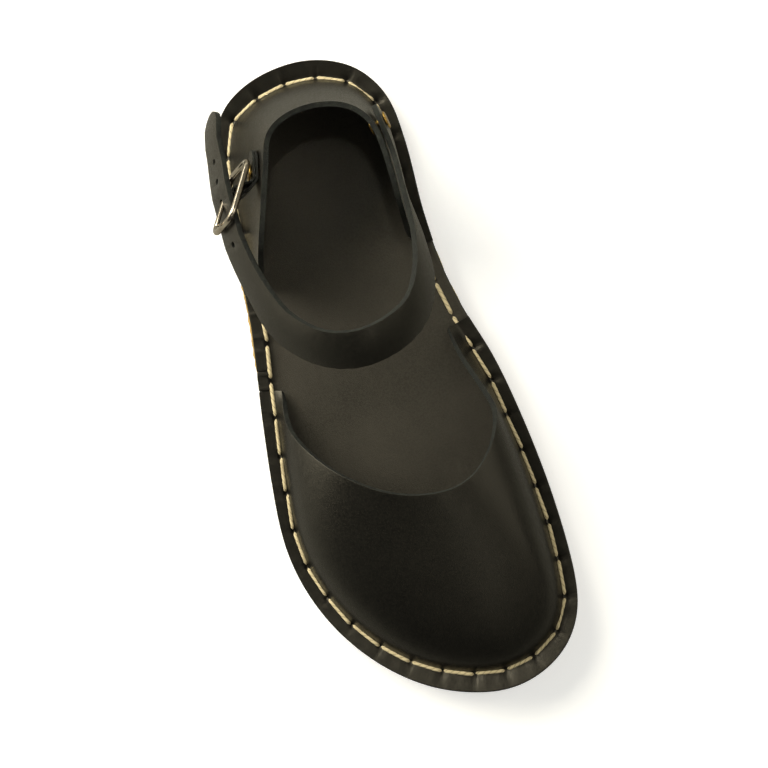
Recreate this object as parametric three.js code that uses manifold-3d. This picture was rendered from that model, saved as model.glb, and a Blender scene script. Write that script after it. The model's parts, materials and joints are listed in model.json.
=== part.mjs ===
// A hand-made closed-toe ankle-strap sandal for the right foot, in millimetres.
// +Z is up, +Y runs from heel to toe and +X is the outer (lateral) side of the foot.
// The sandal stands on the plane z = 0 with the middle of its outline over the origin.

import * as THREE from 'three';
import { mergeVertices } from 'three/addons/utils/BufferGeometryUtils.js';
import Module from 'manifold-3d';

const wasm = await Module();
wasm.setup();

// Sole and insole
const SHOE_LENGTH = 256;
const BALL_WIDTH = 106;
const OUTSOLE_THICKNESS = 5;
const INSOLE_THICKNESS = 2.5;
const TOE_SPRING = 9;
const HEEL_RISE = 1.2;
const WAIST_LIFT = 0.8;
const EDGE_CUP = 0.9;
const CUP_REACH = 12;
const CHANNEL_HEIGHT = 2.5;
const CHANNEL_OPENING = 1.2;
const CHANNEL_DEPTH = 1;
const BEVEL_HEIGHT = 1.3;
const BEVEL_WIDTH = 1.2;
const TOP_EDGE_HEIGHT = 0.4;
const OUTSOLE_EDGE_WIDTH = 0.2;
const INSOLE_EDGE_WIDTH = 0.3;

// Upper
const UPPER_WALL = 2;
const FLANGE_WIDTH_AT_SIDES = 6;
const FLANGE_WIDTH_AT_ENDS = 8;
const CREASE_RADIUS = 1.5;
const THROAT_HEIGHT = 36;
const COUNTER_HEIGHT = 53;

// Ankle strap
const STRAP_WIDTH = 14.5;
const STRAP_THICKNESS = 2;
const HOLE_DIAMETER = 2.4;
const HOLE_SPACING = 8.5;
const HOLES_TOWARDS_TIP = 2;
const HOLES_TOWARDS_FRONT = 2;
const TIP_BEYOND_HOLES = 20;
const STRAP_END_BEHIND_RIVET = 7;

// Buckle, tab and rivets
const BUCKLE_LENGTH = 28;
const BUCKLE_RIM = 2.4;
const BUCKLE_ARCH = 0.2;
const BUCKLE_CORNER = 4;
const BAR_DIAMETER = 2;
const PRONG_DIAMETER = 1.8;
const TAB_THICKNESS = 0.9;
const TAB_WIDTH = 13;
const TAB_LAYER_GAP = 0.2;
const TAB_END_BEHIND_RIVET = 8.5;
const TAB_RIVET_SHARE = 0.62;
const TAB_WRAP = 92;
const RIVET_HEAD_DIAMETER = 7;
const RIVET_HEAD_HEIGHT = 0.8;
const RIVET_SHANK_DIAMETER = 2.8;
const RIVET_WASHER_HEIGHT = 0.7;
const RIVET_EDGE_WIDTH = 0.4;
const PRONG_TIP_DROP = 0.1;
const STRAIGHT_BEFORE_BUCKLE = 6;

// Clearances between pieces that touch
const FIT_GAP = 0.3;
const SEAT_GAP = 0.7;
const SHANK_CLEARANCE = 0.3;
const BUCKLE_SIDE_CLEARANCE = 1;
const BAR_TO_RIM_CLEARANCE = 0.2;
const CREASE_CLEARANCE = 0.72;
const BUCKLE_OVER_TAB = 0.4;

// Mesh fineness
const OUTLINE_SAMPLES = 80;
const CAP_COLUMNS = 4;
const VAMP_STATIONS = 50;
const COUNTER_STATIONS = 36;
const WALL_STEPS = 8;
const STRAP_STATIONS = 44;
const TAB_STATIONS = 24;
const SEARCH_STEP = 0.001;
const DRILL_LENGTH = 14;

// Outline of the sole, as shares of the length and of the ball width, from the back of the
// heel along the outer side to the toe and back along the inner side.
const OUTLINE_ROWS = [
  { along: 0.000, across: 0.000 },
  { along: 0.012, across: 0.170 },
  { along: 0.042, across: 0.285 },
  { along: 0.097, across: 0.350 },
  { along: 0.193, across: 0.378 },
  { along: 0.351, across: 0.393 },
  { along: 0.512, across: 0.453 },
  { along: 0.604, across: 0.483 },
  { along: 0.690, across: 0.500 },
  { along: 0.747, across: 0.488 },
  { along: 0.800, across: 0.452 },
  { along: 0.855, across: 0.388 },
  { along: 0.917, across: 0.271 },
  { along: 0.965, across: 0.122 },
  { along: 0.992, across: -0.040 },
  { along: 0.999, across: -0.180 },
  { along: 0.983, across: -0.318 },
  { along: 0.950, across: -0.422 },
  { along: 0.905, across: -0.480 },
  { along: 0.850, across: -0.499 },
  { along: 0.740, across: -0.499 },
  { along: 0.625, across: -0.475 },
  { along: 0.514, across: -0.432 },
  { along: 0.432, across: -0.376 },
  { along: 0.360, across: -0.343 },
  { along: 0.270, across: -0.330 },
  { along: 0.160, across: -0.337 },
  { along: 0.085, across: -0.318 },
  { along: 0.034, across: -0.240 },
  { along: 0.008, across: -0.125 },
];

// Flat spots of the sole, as shares of the length
const HEEL_FLAT = { from: 0.055, to: 0.23 };
const FOREFOOT_FLAT = { from: 0.56, to: 0.69 };

// Where the flanges of vamp, patch, strip and counter end, as shares of the length
const VAMP_OUTER_END = 0.468;
const VAMP_INNER_END = 0.444;
const PATCH_END = 0.438;
const COUNTER_END = 0.318;

// The free edge of the vamp, from the outer end of its crease round the toe to the inner end.
// at is the share of the crease, across, along and rise are shares of the ball width, the
// length and the throat height. steep and lean set how the wall leaves the crease, reach and
// drop how it comes to the edge, as shares of its rise and its span.
const VAMP_ROWS = [
  { at: 0.00, across: 0.352, along: 0.474, rise: 0.06, steep: 0.45, lean: 0.25, reach: 0.35, drop: 0.30 },
  { at: 0.06, across: 0.366, along: 0.517, rise: 0.24, steep: 0.50, lean: 0.15, reach: 0.35, drop: 0.22 },
  { at: 0.12, across: 0.342, along: 0.551, rise: 0.47, steep: 0.55, lean: 0.08, reach: 0.40, drop: 0.16 },
  { at: 0.19, across: 0.280, along: 0.589, rise: 0.70, steep: 0.60, lean: 0.05, reach: 0.45, drop: 0.12 },
  { at: 0.27, across: 0.205, along: 0.622, rise: 0.88, steep: 0.55, lean: 0.05, reach: 0.48, drop: 0.18 },
  { at: 0.35, across: 0.112, along: 0.652, rise: 0.96, steep: 0.50, lean: 0.04, reach: 0.52, drop: 0.30 },
  { at: 0.43, across: 0.018, along: 0.672, rise: 0.99, steep: 0.46, lean: 0.03, reach: 0.54, drop: 0.40 },
  { at: 0.50, across: -0.077, along: 0.682, rise: 1.00, steep: 0.45, lean: 0.03, reach: 0.55, drop: 0.43 },
  { at: 0.57, across: -0.166, along: 0.683, rise: 0.99, steep: 0.48, lean: 0.03, reach: 0.54, drop: 0.38 },
  { at: 0.64, across: -0.250, along: 0.671, rise: 0.96, steep: 0.54, lean: 0.04, reach: 0.50, drop: 0.26 },
  { at: 0.71, across: -0.316, along: 0.647, rise: 0.90, steep: 0.58, lean: 0.05, reach: 0.45, drop: 0.16 },
  { at: 0.78, across: -0.363, along: 0.619, rise: 0.82, steep: 0.58, lean: 0.07, reach: 0.42, drop: 0.14 },
  { at: 0.85, across: -0.387, along: 0.588, rise: 0.68, steep: 0.52, lean: 0.10, reach: 0.38, drop: 0.18 },
  { at: 0.90, across: -0.372, along: 0.558, rise: 0.53, steep: 0.48, lean: 0.15, reach: 0.35, drop: 0.22 },
  { at: 0.95, across: -0.325, along: 0.500, rise: 0.28, steep: 0.45, lean: 0.20, reach: 0.35, drop: 0.28 },
  { at: 1.00, across: -0.300, along: 0.451, rise: 0.06, steep: 0.45, lean: 0.25, reach: 0.35, drop: 0.30 },
];

// The free edge of the heel counter, from the inner end of its crease round the heel to the
// outer end, with the same columns. rise is a share of the counter height.
const COUNTER_ROWS = [
  { at: 0.000, across: -0.267, along: 0.311, rise: 0.05, steep: 0.40, lean: 0.30, reach: 0.33, drop: 0.33 },
  { at: 0.030, across: -0.268, along: 0.304, rise: 0.36, steep: 0.36, lean: 0.25, reach: 0.33, drop: 0.33 },
  { at: 0.060, across: -0.269, along: 0.297, rise: 0.64, steep: 0.35, lean: 0.20, reach: 0.33, drop: 0.33 },
  { at: 0.095, across: -0.270, along: 0.284, rise: 0.83, steep: 0.35, lean: 0.18, reach: 0.35, drop: 0.34 },
  { at: 0.150, across: -0.270, along: 0.255, rise: 0.95, steep: 0.36, lean: 0.16, reach: 0.36, drop: 0.34 },
  { at: 0.240, across: -0.270, along: 0.193, rise: 1.00, steep: 0.36, lean: 0.15, reach: 0.38, drop: 0.34 },
  { at: 0.330, across: -0.254, along: 0.143, rise: 1.01, steep: 0.36, lean: 0.15, reach: 0.38, drop: 0.34 },
  { at: 0.410, across: -0.188, along: 0.109, rise: 1.02, steep: 0.36, lean: 0.18, reach: 0.40, drop: 0.34 },
  { at: 0.490, across: -0.078, along: 0.094, rise: 1.02, steep: 0.36, lean: 0.20, reach: 0.40, drop: 0.34 },
  { at: 0.570, across: 0.035, along: 0.097, rise: 1.02, steep: 0.36, lean: 0.22, reach: 0.40, drop: 0.34 },
  { at: 0.650, across: 0.119, along: 0.117, rise: 1.01, steep: 0.35, lean: 0.40, reach: 0.28, drop: 0.36 },
  { at: 0.730, across: 0.155, along: 0.155, rise: 1.00, steep: 0.33, lean: 0.58, reach: 0.20, drop: 0.38 },
  { at: 0.820, across: 0.195, along: 0.201, rise: 0.98, steep: 0.33, lean: 0.58, reach: 0.20, drop: 0.38 },
  { at: 0.900, across: 0.243, along: 0.253, rise: 0.91, steep: 0.33, lean: 0.48, reach: 0.25, drop: 0.36 },
  { at: 0.940, across: 0.272, along: 0.282, rise: 0.80, steep: 0.33, lean: 0.32, reach: 0.33, drop: 0.33 },
  { at: 0.968, across: 0.290, along: 0.297, rise: 0.58, steep: 0.36, lean: 0.30, reach: 0.33, drop: 0.33 },
  { at: 0.986, across: 0.304, along: 0.306, rise: 0.32, steep: 0.38, lean: 0.30, reach: 0.33, drop: 0.33 },
  { at: 1.000, across: 0.312, along: 0.311, rise: 0.05, steep: 0.40, lean: 0.30, reach: 0.33, drop: 0.33 },
];

// The strap where it lies on the inner side of the counter, as shares of the length and of
// the counter height over the crease. The second row is at the rivet.
const STRAP_SEAT_ROWS = [
  { along: 0.143, up: 0.755 },
  { along: 0.200, up: 0.850 },
  { along: 0.245, up: 0.920 },
];
const INNER_RIVET = { along: 0.143, up: 0.755 };

// The free run of the strap round the front of the ankle. up is a share of the counter
// height over the crease and lean is the tilt of the band in degrees, lower edge outwards.
const STRAP_FREE_ROWS = [
  { across: -0.291, along: 0.322, up: 1.02, lean: 10 },
  { across: -0.272, along: 0.377, up: 1.12, lean: 26 },
  { across: -0.215, along: 0.420, up: 1.20, lean: 42 },
  { across: -0.115, along: 0.444, up: 1.27, lean: 58 },
  { across: 0.010, along: 0.451, up: 1.28, lean: 65 },
  { across: 0.130, along: 0.435, up: 1.20, lean: 58 },
  { across: 0.245, along: 0.388, up: 1.04, lean: 46 },
  { across: 0.300, along: 0.326, up: 0.92, lean: 34 },
];

// The free end behind the buckle
const STRAP_TIP_ROWS = [
  { across: 0.325, along: 0.128, up: 0.650, lean: 27 },
  { across: 0.315, along: 0.088, up: 0.600, lean: 25 },
  { across: 0.272, along: 0.040, up: 0.560, lean: 25 },
];

// Where the bar of the buckle stands over the outer side of the counter, and how the strap
// runs there: lean and slope in degrees.
const BUCKLE_SEAT = { along: 0.196, up: 0.690, lean: 30, slope: 12 };

// Colours of the finishes
const FINISHES = {
  sole: { color: 0xb58a48, roughness: 0.8, metalness: 0 },
  insole: { color: 0x3c3833, roughness: 0.6, metalness: 0 },
  upper: { color: 0x23211e, roughness: 0.5, metalness: 0 },
  nickel: { color: 0x8a8178, roughness: 0.3, metalness: 1 },
  brass: { color: 0xa08741, roughness: 0.3, metalness: 1 },
};

const UP = new THREE.Vector3(0, 0, 1);
const CREASE_BASE = OUTSOLE_THICKNESS + INSOLE_THICKNESS + UPPER_WALL + CREASE_CLEARANCE;

// Value of one column of a table at a place between its rows, on a smooth curve.
function column(rows, at, key) {
  let row = 0;
  while (row < rows.length - 2 && at > rows[row + 1].at) {
    row += 1;
  }
  const here = rows[row];
  const next = rows[row + 1];
  const before = rows[Math.max(row - 1, 0)];
  const after = rows[Math.min(row + 2, rows.length - 1)];
  const step = next.at - here.at;
  const share = (at - here.at) / step;
  const slopeHere = (next[key] - before[key]) / (next.at - before.at);
  const slopeNext = (after[key] - here[key]) / (after.at - here.at);
  const square = share * share;
  const cube = square * share;
  return (2 * cube - 3 * square + 1) * here[key]
    + (cube - 2 * square + share) * step * slopeHere
    + (3 * square - 2 * cube) * next[key]
    + (cube - square) * step * slopeNext;
}

// The sole's outline as evenly spaced points, scaled to the exact length and width.
const OUTLINE_DIVISIONS = 720;
const outline = (() => {
  const knots = OUTLINE_ROWS.map(
    (row) => new THREE.Vector3(row.across * BALL_WIDTH, row.along * SHOE_LENGTH, 0),
  );
  const curve = new THREE.CatmullRomCurve3(knots, true, 'centripetal');
  curve.arcLengthDivisions = OUTLINE_DIVISIONS;
  const points = curve.getSpacedPoints(OUTLINE_DIVISIONS).slice(0, OUTLINE_DIVISIONS);
  const box = new THREE.Box3().setFromPoints(points);
  const size = box.getSize(new THREE.Vector3());
  const middle = box.getCenter(new THREE.Vector3());
  return points.map((point) => new THREE.Vector3(
    (point.x - middle.x) * BALL_WIDTH / size.x,
    (point.y - middle.y) * SHOE_LENGTH / size.y,
    0,
  ));
})();

// Point of the outline at a share of the way round, from the back of the heel.
function outlinePoint(share) {
  const place = (((share % 1) + 1) % 1) * OUTLINE_DIVISIONS;
  const index = Math.floor(place);
  const start = outline[index % OUTLINE_DIVISIONS];
  const end = outline[(index + 1) % OUTLINE_DIVISIONS];
  return start.clone().lerp(end, place - index);
}

// Outward direction of the outline.
function outlineNormal(share) {
  const reach = 4 / OUTLINE_DIVISIONS;
  const run = outlinePoint(share + reach).sub(outlinePoint(share - reach)).normalize();
  return new THREE.Vector3(run.y, -run.x, 0);
}

// Place on the outline, moved inwards.
function insetPoint(share, inset) {
  return outlinePoint(share).addScaledVector(outlineNormal(share), -inset);
}

// Share of the way round at which one side of the outline reaches a share of the length.
function shareAt(along, outerSide) {
  const target = (along - 0.5) * SHOE_LENGTH;
  let best = 0;
  let bestMiss = Infinity;
  for (let index = 0; index < OUTLINE_DIVISIONS; index += 1) {
    const share = index / OUTLINE_DIVISIONS;
    const miss = Math.abs(outline[index].y - target);
    if (outline[index].x > 0 === outerSide && miss < bestMiss) {
      best = share;
      bestMiss = miss;
    }
  }
  return best;
}

// Width of the turned-out flange, wider round the toe and the heel.
function flangeWidth(share) {
  const normal = outlineNormal(share);
  return FLANGE_WIDTH_AT_SIDES + (FLANGE_WIDTH_AT_ENDS - FLANGE_WIDTH_AT_SIDES) * normal.y * normal.y;
}

// Smooth step from 0 to 1 between two places.
function ease(from, to, value) {
  const share = THREE.MathUtils.clamp((value - from) / (to - from), 0, 1);
  return share * share * (3 - 2 * share);
}

// Height of the underside: toe spring, heel rise, waist and cupped edge.
function undersideLift(y, inset) {
  const along = y / SHOE_LENGTH + 0.5;
  const toe = Math.max(0, (along - FOREFOOT_FLAT.to) / (1 - FOREFOOT_FLAT.to));
  const heel = Math.max(0, (HEEL_FLAT.from - along) / HEEL_FLAT.from);
  const halfWay = (HEEL_FLAT.to + FOREFOOT_FLAT.from) / 2;
  const waist = ease(HEEL_FLAT.to, halfWay, along) * (1 - ease(halfWay, FOREFOOT_FLAT.from, along));
  const edge = Math.max(0, 1 - inset / CUP_REACH);
  return TOE_SPRING * toe * toe + HEEL_RISE * heel * heel + WAIST_LIFT * waist + EDGE_CUP * edge * edge;
}

// Point at an inset from the outline and a height over the underside.
function solePoint(share, inset, height) {
  const point = insetPoint(share, inset);
  point.z = undersideLift(point.y, inset) + height;
  return point;
}

// A closed body from a list of triangles' corners.
function bodyFrom(corners) {
  const loose = new THREE.BufferGeometry().setFromPoints(corners);
  const merged = mergeVertices(loose, 1e-4);
  const index = [];
  const source = merged.index.array;
  for (let corner = 0; corner < source.length; corner += 3) {
    const [a, b, c] = source.slice(corner, corner + 3);
    if (a !== b && b !== c && a !== c) {
      index.push(a, b, c);
    }
  }
  merged.setIndex(index);
  return merged;
}

function addQuad(corners, a, b, c, d) {
  corners.push(a, b, c, a, c, d);
}

// Two triangles strips between neighbouring rings of points.
function addRings(corners, rings) {
  for (let ring = 0; ring + 1 < rings.length; ring += 1) {
    const inner = rings[ring];
    const outer = rings[ring + 1];
    for (let index = 0; index < inner.length; index += 1) {
      const next = (index + 1) % inner.length;
      addQuad(corners, inner[index], outer[index], outer[next], inner[next]);
    }
  }
}

// A lid over a ring, in rows from side to side. facing is 1 for a lid that faces up.
function addLid(corners, ring, height, facing) {
  const half = ring.length / 2;
  const rows = [];
  for (let row = 0; row <= half; row += 1) {
    const outer = ring[row];
    const inner = ring[(ring.length - row) % ring.length];
    const points = [];
    for (let step = 0; step <= CAP_COLUMNS; step += 1) {
      const point = outer.clone().lerp(inner, step / CAP_COLUMNS);
      if (step > 0 && step < CAP_COLUMNS) {
        point.z = undersideLift(point.y, CUP_REACH) + height;
      }
      points.push(row === 0 || row === half ? outer.clone() : point);
    }
    rows.push(points);
  }
  for (let row = 0; row < half; row += 1) {
    for (let step = 0; step < CAP_COLUMNS; step += 1) {
      const near = rows[row];
      const far = rows[row + 1];
      if (facing > 0) {
        addQuad(corners, near[step], far[step], far[step + 1], near[step + 1]);
      } else {
        addQuad(corners, near[step], near[step + 1], far[step + 1], far[step]);
      }
    }
  }
}

// A plate with the sole's outline. profile lists the rings of its side from the top edge to
// the bottom edge, each with its inset and its height over the underside.
function solePlate(profile) {
  const surfaceInsets = [CUP_REACH, CUP_REACH / 2];
  const top = profile[0];
  const bottom = profile[profile.length - 1];
  const rows = [
    ...surfaceInsets.map((inset) => ({ inset, height: top.height })),
    ...profile,
    ...[...surfaceInsets].reverse().map((inset) => ({ inset, height: bottom.height })),
  ];
  const rings = rows.map((row) => Array.from(
    { length: OUTLINE_SAMPLES },
    (_, index) => solePoint(index / OUTLINE_SAMPLES, row.inset, row.height),
  ));
  const corners = [];
  addLid(corners, rings[0], top.height, 1);
  addRings(corners, rings);
  addLid(corners, rings[rings.length - 1], bottom.height, -1);
  return bodyFrom(corners);
}

function outsoleGeometry() {
  const middle = CHANNEL_HEIGHT;
  const half = CHANNEL_OPENING / 2;
  return solePlate([
    { inset: OUTSOLE_EDGE_WIDTH, height: OUTSOLE_THICKNESS },
    { inset: 0, height: OUTSOLE_THICKNESS - TOP_EDGE_HEIGHT },
    { inset: 0, height: middle + half },
    { inset: CHANNEL_DEPTH, height: middle },
    { inset: 0, height: middle - half },
    { inset: 0, height: BEVEL_HEIGHT },
    { inset: BEVEL_WIDTH, height: 0 },
  ]);
}

function insoleGeometry() {
  const base = OUTSOLE_THICKNESS + FIT_GAP;
  return solePlate([
    { inset: INSOLE_EDGE_WIDTH, height: base + INSOLE_THICKNESS },
    { inset: 0, height: base + INSOLE_THICKNESS - TOP_EDGE_HEIGHT },
    { inset: 0, height: base },
  ]);
}

// Place on the wall of a panel of the upper. at is the share of its crease and step the
// share of the way from the crease to the free edge.
function wallPoint(panel, at, step) {
  const share = panel.from + (panel.to - panel.from) * at;
  const crease = solePoint(share, flangeWidth(share), CREASE_BASE);
  const edge = new THREE.Vector3(
    column(panel.rows, at, 'across') * BALL_WIDTH,
    (column(panel.rows, at, 'along') - 0.5) * SHOE_LENGTH,
    CREASE_BASE + column(panel.rows, at, 'rise') * panel.height,
  );
  const rise = edge.z - crease.z;
  const span = edge.clone().sub(crease).setZ(0);
  const leave = crease.clone().addScaledVector(span, column(panel.rows, at, 'lean'));
  leave.z += rise * column(panel.rows, at, 'steep');
  const arrive = edge.clone().addScaledVector(span, -column(panel.rows, at, 'reach'));
  arrive.z -= rise * column(panel.rows, at, 'drop');
  return new THREE.CubicBezierCurve3(crease, leave, arrive, edge).getPoint(step);
}

// Outward direction of a panel's wall.
function wallNormal(panel, at, step) {
  const reach = 0.01;
  const lower = Math.max(step - reach, 0);
  const upper = Math.min(step + reach, 1);
  const before = Math.max(at - reach, 0);
  const after = Math.min(at + reach, 1);
  const round = wallPoint(panel, after, step).sub(wallPoint(panel, before, step));
  const rise = wallPoint(panel, at, upper).sub(wallPoint(panel, at, lower));
  return round.cross(rise).normalize();
}

// Place and direction of the wall at a share of the length and of the panel's height.
function seatOn(panel, place, fromAt, toAt) {
  const y = (place.along - 0.5) * SHOE_LENGTH;
  const z = CREASE_BASE + place.up * panel.height;
  let middle = { at: (fromAt + toAt) / 2, step: 0.5 };
  let reach = { at: (toAt - fromAt) / 2, step: 0.5 };
  const divisions = 12;
  for (let pass = 0; pass < 6; pass += 1) {
    let best = Infinity;
    const centre = middle;
    for (let row = -divisions; row <= divisions; row += 1) {
      for (let rung = -divisions; rung <= divisions; rung += 1) {
        const at = THREE.MathUtils.clamp(centre.at + reach.at * row / divisions, 0, 1);
        const step = THREE.MathUtils.clamp(centre.step + reach.step * rung / divisions, 0, 1);
        const point = wallPoint(panel, at, step);
        const miss = Math.hypot(point.y - y, point.z - z);
        if (miss < best) {
          best = miss;
          middle = { at, step };
        }
      }
    }
    reach = { at: reach.at / 4, step: reach.step / 4 };
  }
  return {
    point: wallPoint(panel, middle.at, middle.step),
    normal: wallNormal(panel, middle.at, middle.step),
  };
}

// Points of a panel from the rim of the flange over the crease and up the wall.
function panelLine(panel, at) {
  const share = panel.from + (panel.to - panel.from) * at;
  const flange = flangeWidth(share);
  const flat = solePoint(share, flange - CREASE_RADIUS, CREASE_BASE);
  const corner = wallPoint(panel, at, 0);
  const length = wallPoint(panel, at, 1).distanceTo(corner);
  const start = THREE.MathUtils.clamp(CREASE_RADIUS / length, 0.05, 0.35);
  const rise = wallPoint(panel, at, start);
  const bend = corner.clone().multiplyScalar(0.5).addScaledVector(flat, 0.25).addScaledVector(rise, 0.25);
  const line = [
    solePoint(share, 0, CREASE_BASE),
    solePoint(share, flange / 2, CREASE_BASE),
    flat,
    bend,
  ];
  for (let step = 0; step <= WALL_STEPS; step += 1) {
    line.push(wallPoint(panel, at, start + (1 - start) * step / WALL_STEPS));
  }
  return line;
}

// A wall of even thickness behind a grid of points.
function wallBody(grid, thickness) {
  const lastRow = grid.length - 1;
  const lastStep = grid[0].length - 1;
  const inner = grid.map((line, row) => line.map((point, step) => {
    const round = grid[Math.min(row + 1, lastRow)][step].clone().sub(grid[Math.max(row - 1, 0)][step]);
    const rise = line[Math.min(step + 1, lastStep)].clone().sub(line[Math.max(step - 1, 0)]);
    return point.clone().addScaledVector(round.cross(rise).normalize(), -thickness);
  }));
  return shellBetween(grid, inner);
}

// A closed body between two grids of points.
function shellBetween(outer, inner) {
  const corners = [];
  const lastRow = outer.length - 1;
  const lastStep = outer[0].length - 1;
  for (let row = 0; row < lastRow; row += 1) {
    for (let step = 0; step < lastStep; step += 1) {
      addQuad(corners, outer[row][step], outer[row + 1][step], outer[row + 1][step + 1], outer[row][step + 1]);
      addQuad(corners, inner[row][step], inner[row][step + 1], inner[row + 1][step + 1], inner[row + 1][step]);
    }
    addQuad(corners, outer[row][0], inner[row][0], inner[row + 1][0], outer[row + 1][0]);
    addQuad(corners, outer[row][lastStep], outer[row + 1][lastStep], inner[row + 1][lastStep], inner[row][lastStep]);
  }
  for (let step = 0; step < lastStep; step += 1) {
    addQuad(corners, outer[0][step], outer[0][step + 1], inner[0][step + 1], inner[0][step]);
    addQuad(corners, outer[lastRow][step], inner[lastRow][step], inner[lastRow][step + 1], outer[lastRow][step + 1]);
  }
  return bodyFrom(corners);
}

// A panel of the upper with its flange: stations lie closer together towards its ends.
function panelGeometry(panel, stations) {
  const grid = [];
  for (let station = 0; station <= stations; station += 1) {
    const even = station / stations;
    const gathered = 0.5 - 0.5 * Math.cos(Math.PI * even);
    grid.push(panelLine(panel, THREE.MathUtils.lerp(even, gathered, 0.45)));
  }
  return wallBody(grid, UPPER_WALL);
}

const vampPanel = {
  rows: VAMP_ROWS,
  height: THROAT_HEIGHT,
  from: shareAt(VAMP_OUTER_END, true),
  to: shareAt(VAMP_INNER_END, false),
};

const counterPanel = {
  rows: COUNTER_ROWS,
  height: COUNTER_HEIGHT,
  from: shareAt(COUNTER_END, false),
  to: shareAt(COUNTER_END, true) + 1,
};

// A strip of the flange's width and thickness on the edge of the insole.
function weltGeometry(from, to, stations) {
  const grid = [];
  for (let station = 0; station <= stations; station += 1) {
    const share = from + (to - from) * station / stations;
    const width = flangeWidth(share) - CREASE_RADIUS / 2;
    grid.push([0, 0.5, 1].map((part) => solePoint(share, width * part, CREASE_BASE)));
  }
  return wallBody(grid, UPPER_WALL);
}

const PERIMETER = outline.reduce(
  (sum, point, index) => sum + point.distanceTo(outline[(index + 1) % OUTLINE_DIVISIONS]),
  0,
);
const JOINT_SHARE = FIT_GAP / PERIMETER;

// Frames along a strap: a smooth curve through the knots, and at each place the direction of
// its run, its width and its outer face.
function strapFrames(knots, count) {
  const curve = new THREE.CatmullRomCurve3(knots.map((knot) => knot.point), false, 'centripetal');
  curve.arcLengthDivisions = 600;
  const lengths = curve.getLengths();
  const total = curve.getLength();
  const marks = knots.map((_, index) => {
    const place = index / (knots.length - 1) * (lengths.length - 1);
    const low = Math.floor(place);
    const high = Math.min(low + 1, lengths.length - 1);
    return (lengths[low] + (lengths[high] - lengths[low]) * (place - low)) / total;
  });
  const widths = knots.map((knot, index) => ({ at: marks[index], x: knot.width.x, y: knot.width.y, z: knot.width.z }));
  const frameAt = (share) => {
    const point = curve.getPointAt(share);
    const run = curve.getTangentAt(share);
    const width = new THREE.Vector3(
      column(widths, share, 'x'),
      column(widths, share, 'y'),
      column(widths, share, 'z'),
    );
    width.addScaledVector(run, -width.dot(run)).normalize();
    return { point, run, width, face: width.clone().cross(run), share };
  };
  return { frameAt, total, count };
}

// A flat band along frames, with rounded ends.
function bandGeometry(frames, width, thickness, roundStart, roundEnd) {
  const places = [];
  const endSteps = [0.02, 0.18, 0.45, 0.75, 1];
  const radius = width / 2;
  const from = roundStart ? radius : 0;
  const to = frames.total - (roundEnd ? radius : 0);
  if (roundStart) {
    endSteps.slice(0, -1).forEach((part) => places.push(part * radius));
  }
  for (let step = 0; step <= frames.count; step += 1) {
    places.push(from + (to - from) * step / frames.count);
  }
  if (roundEnd) {
    endSteps.slice(0, -1).reverse().forEach((part) => places.push(frames.total - part * radius));
  }
  const halfWidthAt = (place) => {
    const near = Math.min(
      roundStart ? place / radius : 1,
      roundEnd ? (frames.total - place) / radius : 1,
      1,
    );
    return radius * Math.sqrt(1 - (1 - near) * (1 - near));
  };
  const rowsOf = (side) => places.map((place) => {
    const frame = frames.frameAt(place / frames.total);
    return [1, 0, -1].map((part) => frame.point.clone()
      .addScaledVector(frame.width, part * halfWidthAt(place))
      .addScaledVector(frame.face, side * thickness / 2));
  });
  return shellBetween(rowsOf(1), rowsOf(-1));
}

// A round rod along a flat path. across is the direction square to the path's plane.
function rodGeometry(path, across, radius, sides) {
  const last = path.length - 1;
  const rings = path.map((point, index) => {
    const run = path[Math.min(index + 1, last)].clone().sub(path[Math.max(index - 1, 0)]).normalize();
    const outward = run.clone().cross(across).normalize();
    return Array.from({ length: sides }, (_, side) => {
      const angle = 2 * Math.PI * side / sides;
      return point.clone()
        .addScaledVector(outward, radius * Math.cos(angle))
        .addScaledVector(across, radius * Math.sin(angle));
    });
  });
  const corners = [];
  addRings(corners, rings);
  for (let side = 0; side < sides; side += 1) {
    const next = (side + 1) % sides;
    corners.push(path[0], rings[0][side], rings[0][next]);
    corners.push(path[last], rings[last][next], rings[last][side]);
  }
  return bodyFrom(corners);
}

function manifoldOf(geometry) {
  const bare = new THREE.BufferGeometry();
  bare.setAttribute('position', geometry.attributes.position);
  if (geometry.index) {
    bare.setIndex(geometry.index);
  }
  const merged = mergeVertices(bare, 1e-4);
  return new wasm.Manifold(new wasm.Mesh({
    numProp: 3,
    vertProperties: new Float32Array(merged.attributes.position.array),
    triVerts: new Uint32Array(merged.index.array),
  }));
}

function geometryOf(solid) {
  const mesh = solid.getMesh();
  const geometry = new THREE.BufferGeometry();
  geometry.setAttribute('position', new THREE.BufferAttribute(new Float32Array(mesh.vertProperties), 3));
  geometry.setIndex(new THREE.BufferAttribute(new Uint32Array(mesh.triVerts), 1));
  return geometry;
}

// A body with others cut out of it.
function cut(geometry, tools) {
  return geometryOf(tools.reduce((solid, tool) => solid.subtract(manifoldOf(tool)), manifoldOf(geometry)));
}

function join(geometries) {
  return geometryOf(geometries.slice(1).reduce(
    (solid, piece) => solid.add(manifoldOf(piece)),
    manifoldOf(geometries[0]),
  ));
}

// A straight round tool through a place.
function drill(point, direction, diameter, length, sides = 10) {
  const geometry = new THREE.CylinderGeometry(diameter / 2, diameter / 2, length, sides);
  const turn = new THREE.Quaternion().setFromUnitVectors(new THREE.Vector3(0, 1, 0), direction);
  return geometry.applyQuaternion(turn).translate(point.x, point.y, point.z);
}

// The counter's wall under the strap, the rivets and the buckle.
const INNER_SIDE = { from: 0.02, to: 0.45 };
const OUTER_SIDE = { from: 0.6, to: 0.98 };
const innerRivetSeat = seatOn(counterPanel, INNER_RIVET, INNER_SIDE.from, INNER_SIDE.to);
const barSeat = seatOn(counterPanel, BUCKLE_SEAT, OUTER_SIDE.from, OUTER_SIDE.to);

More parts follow.
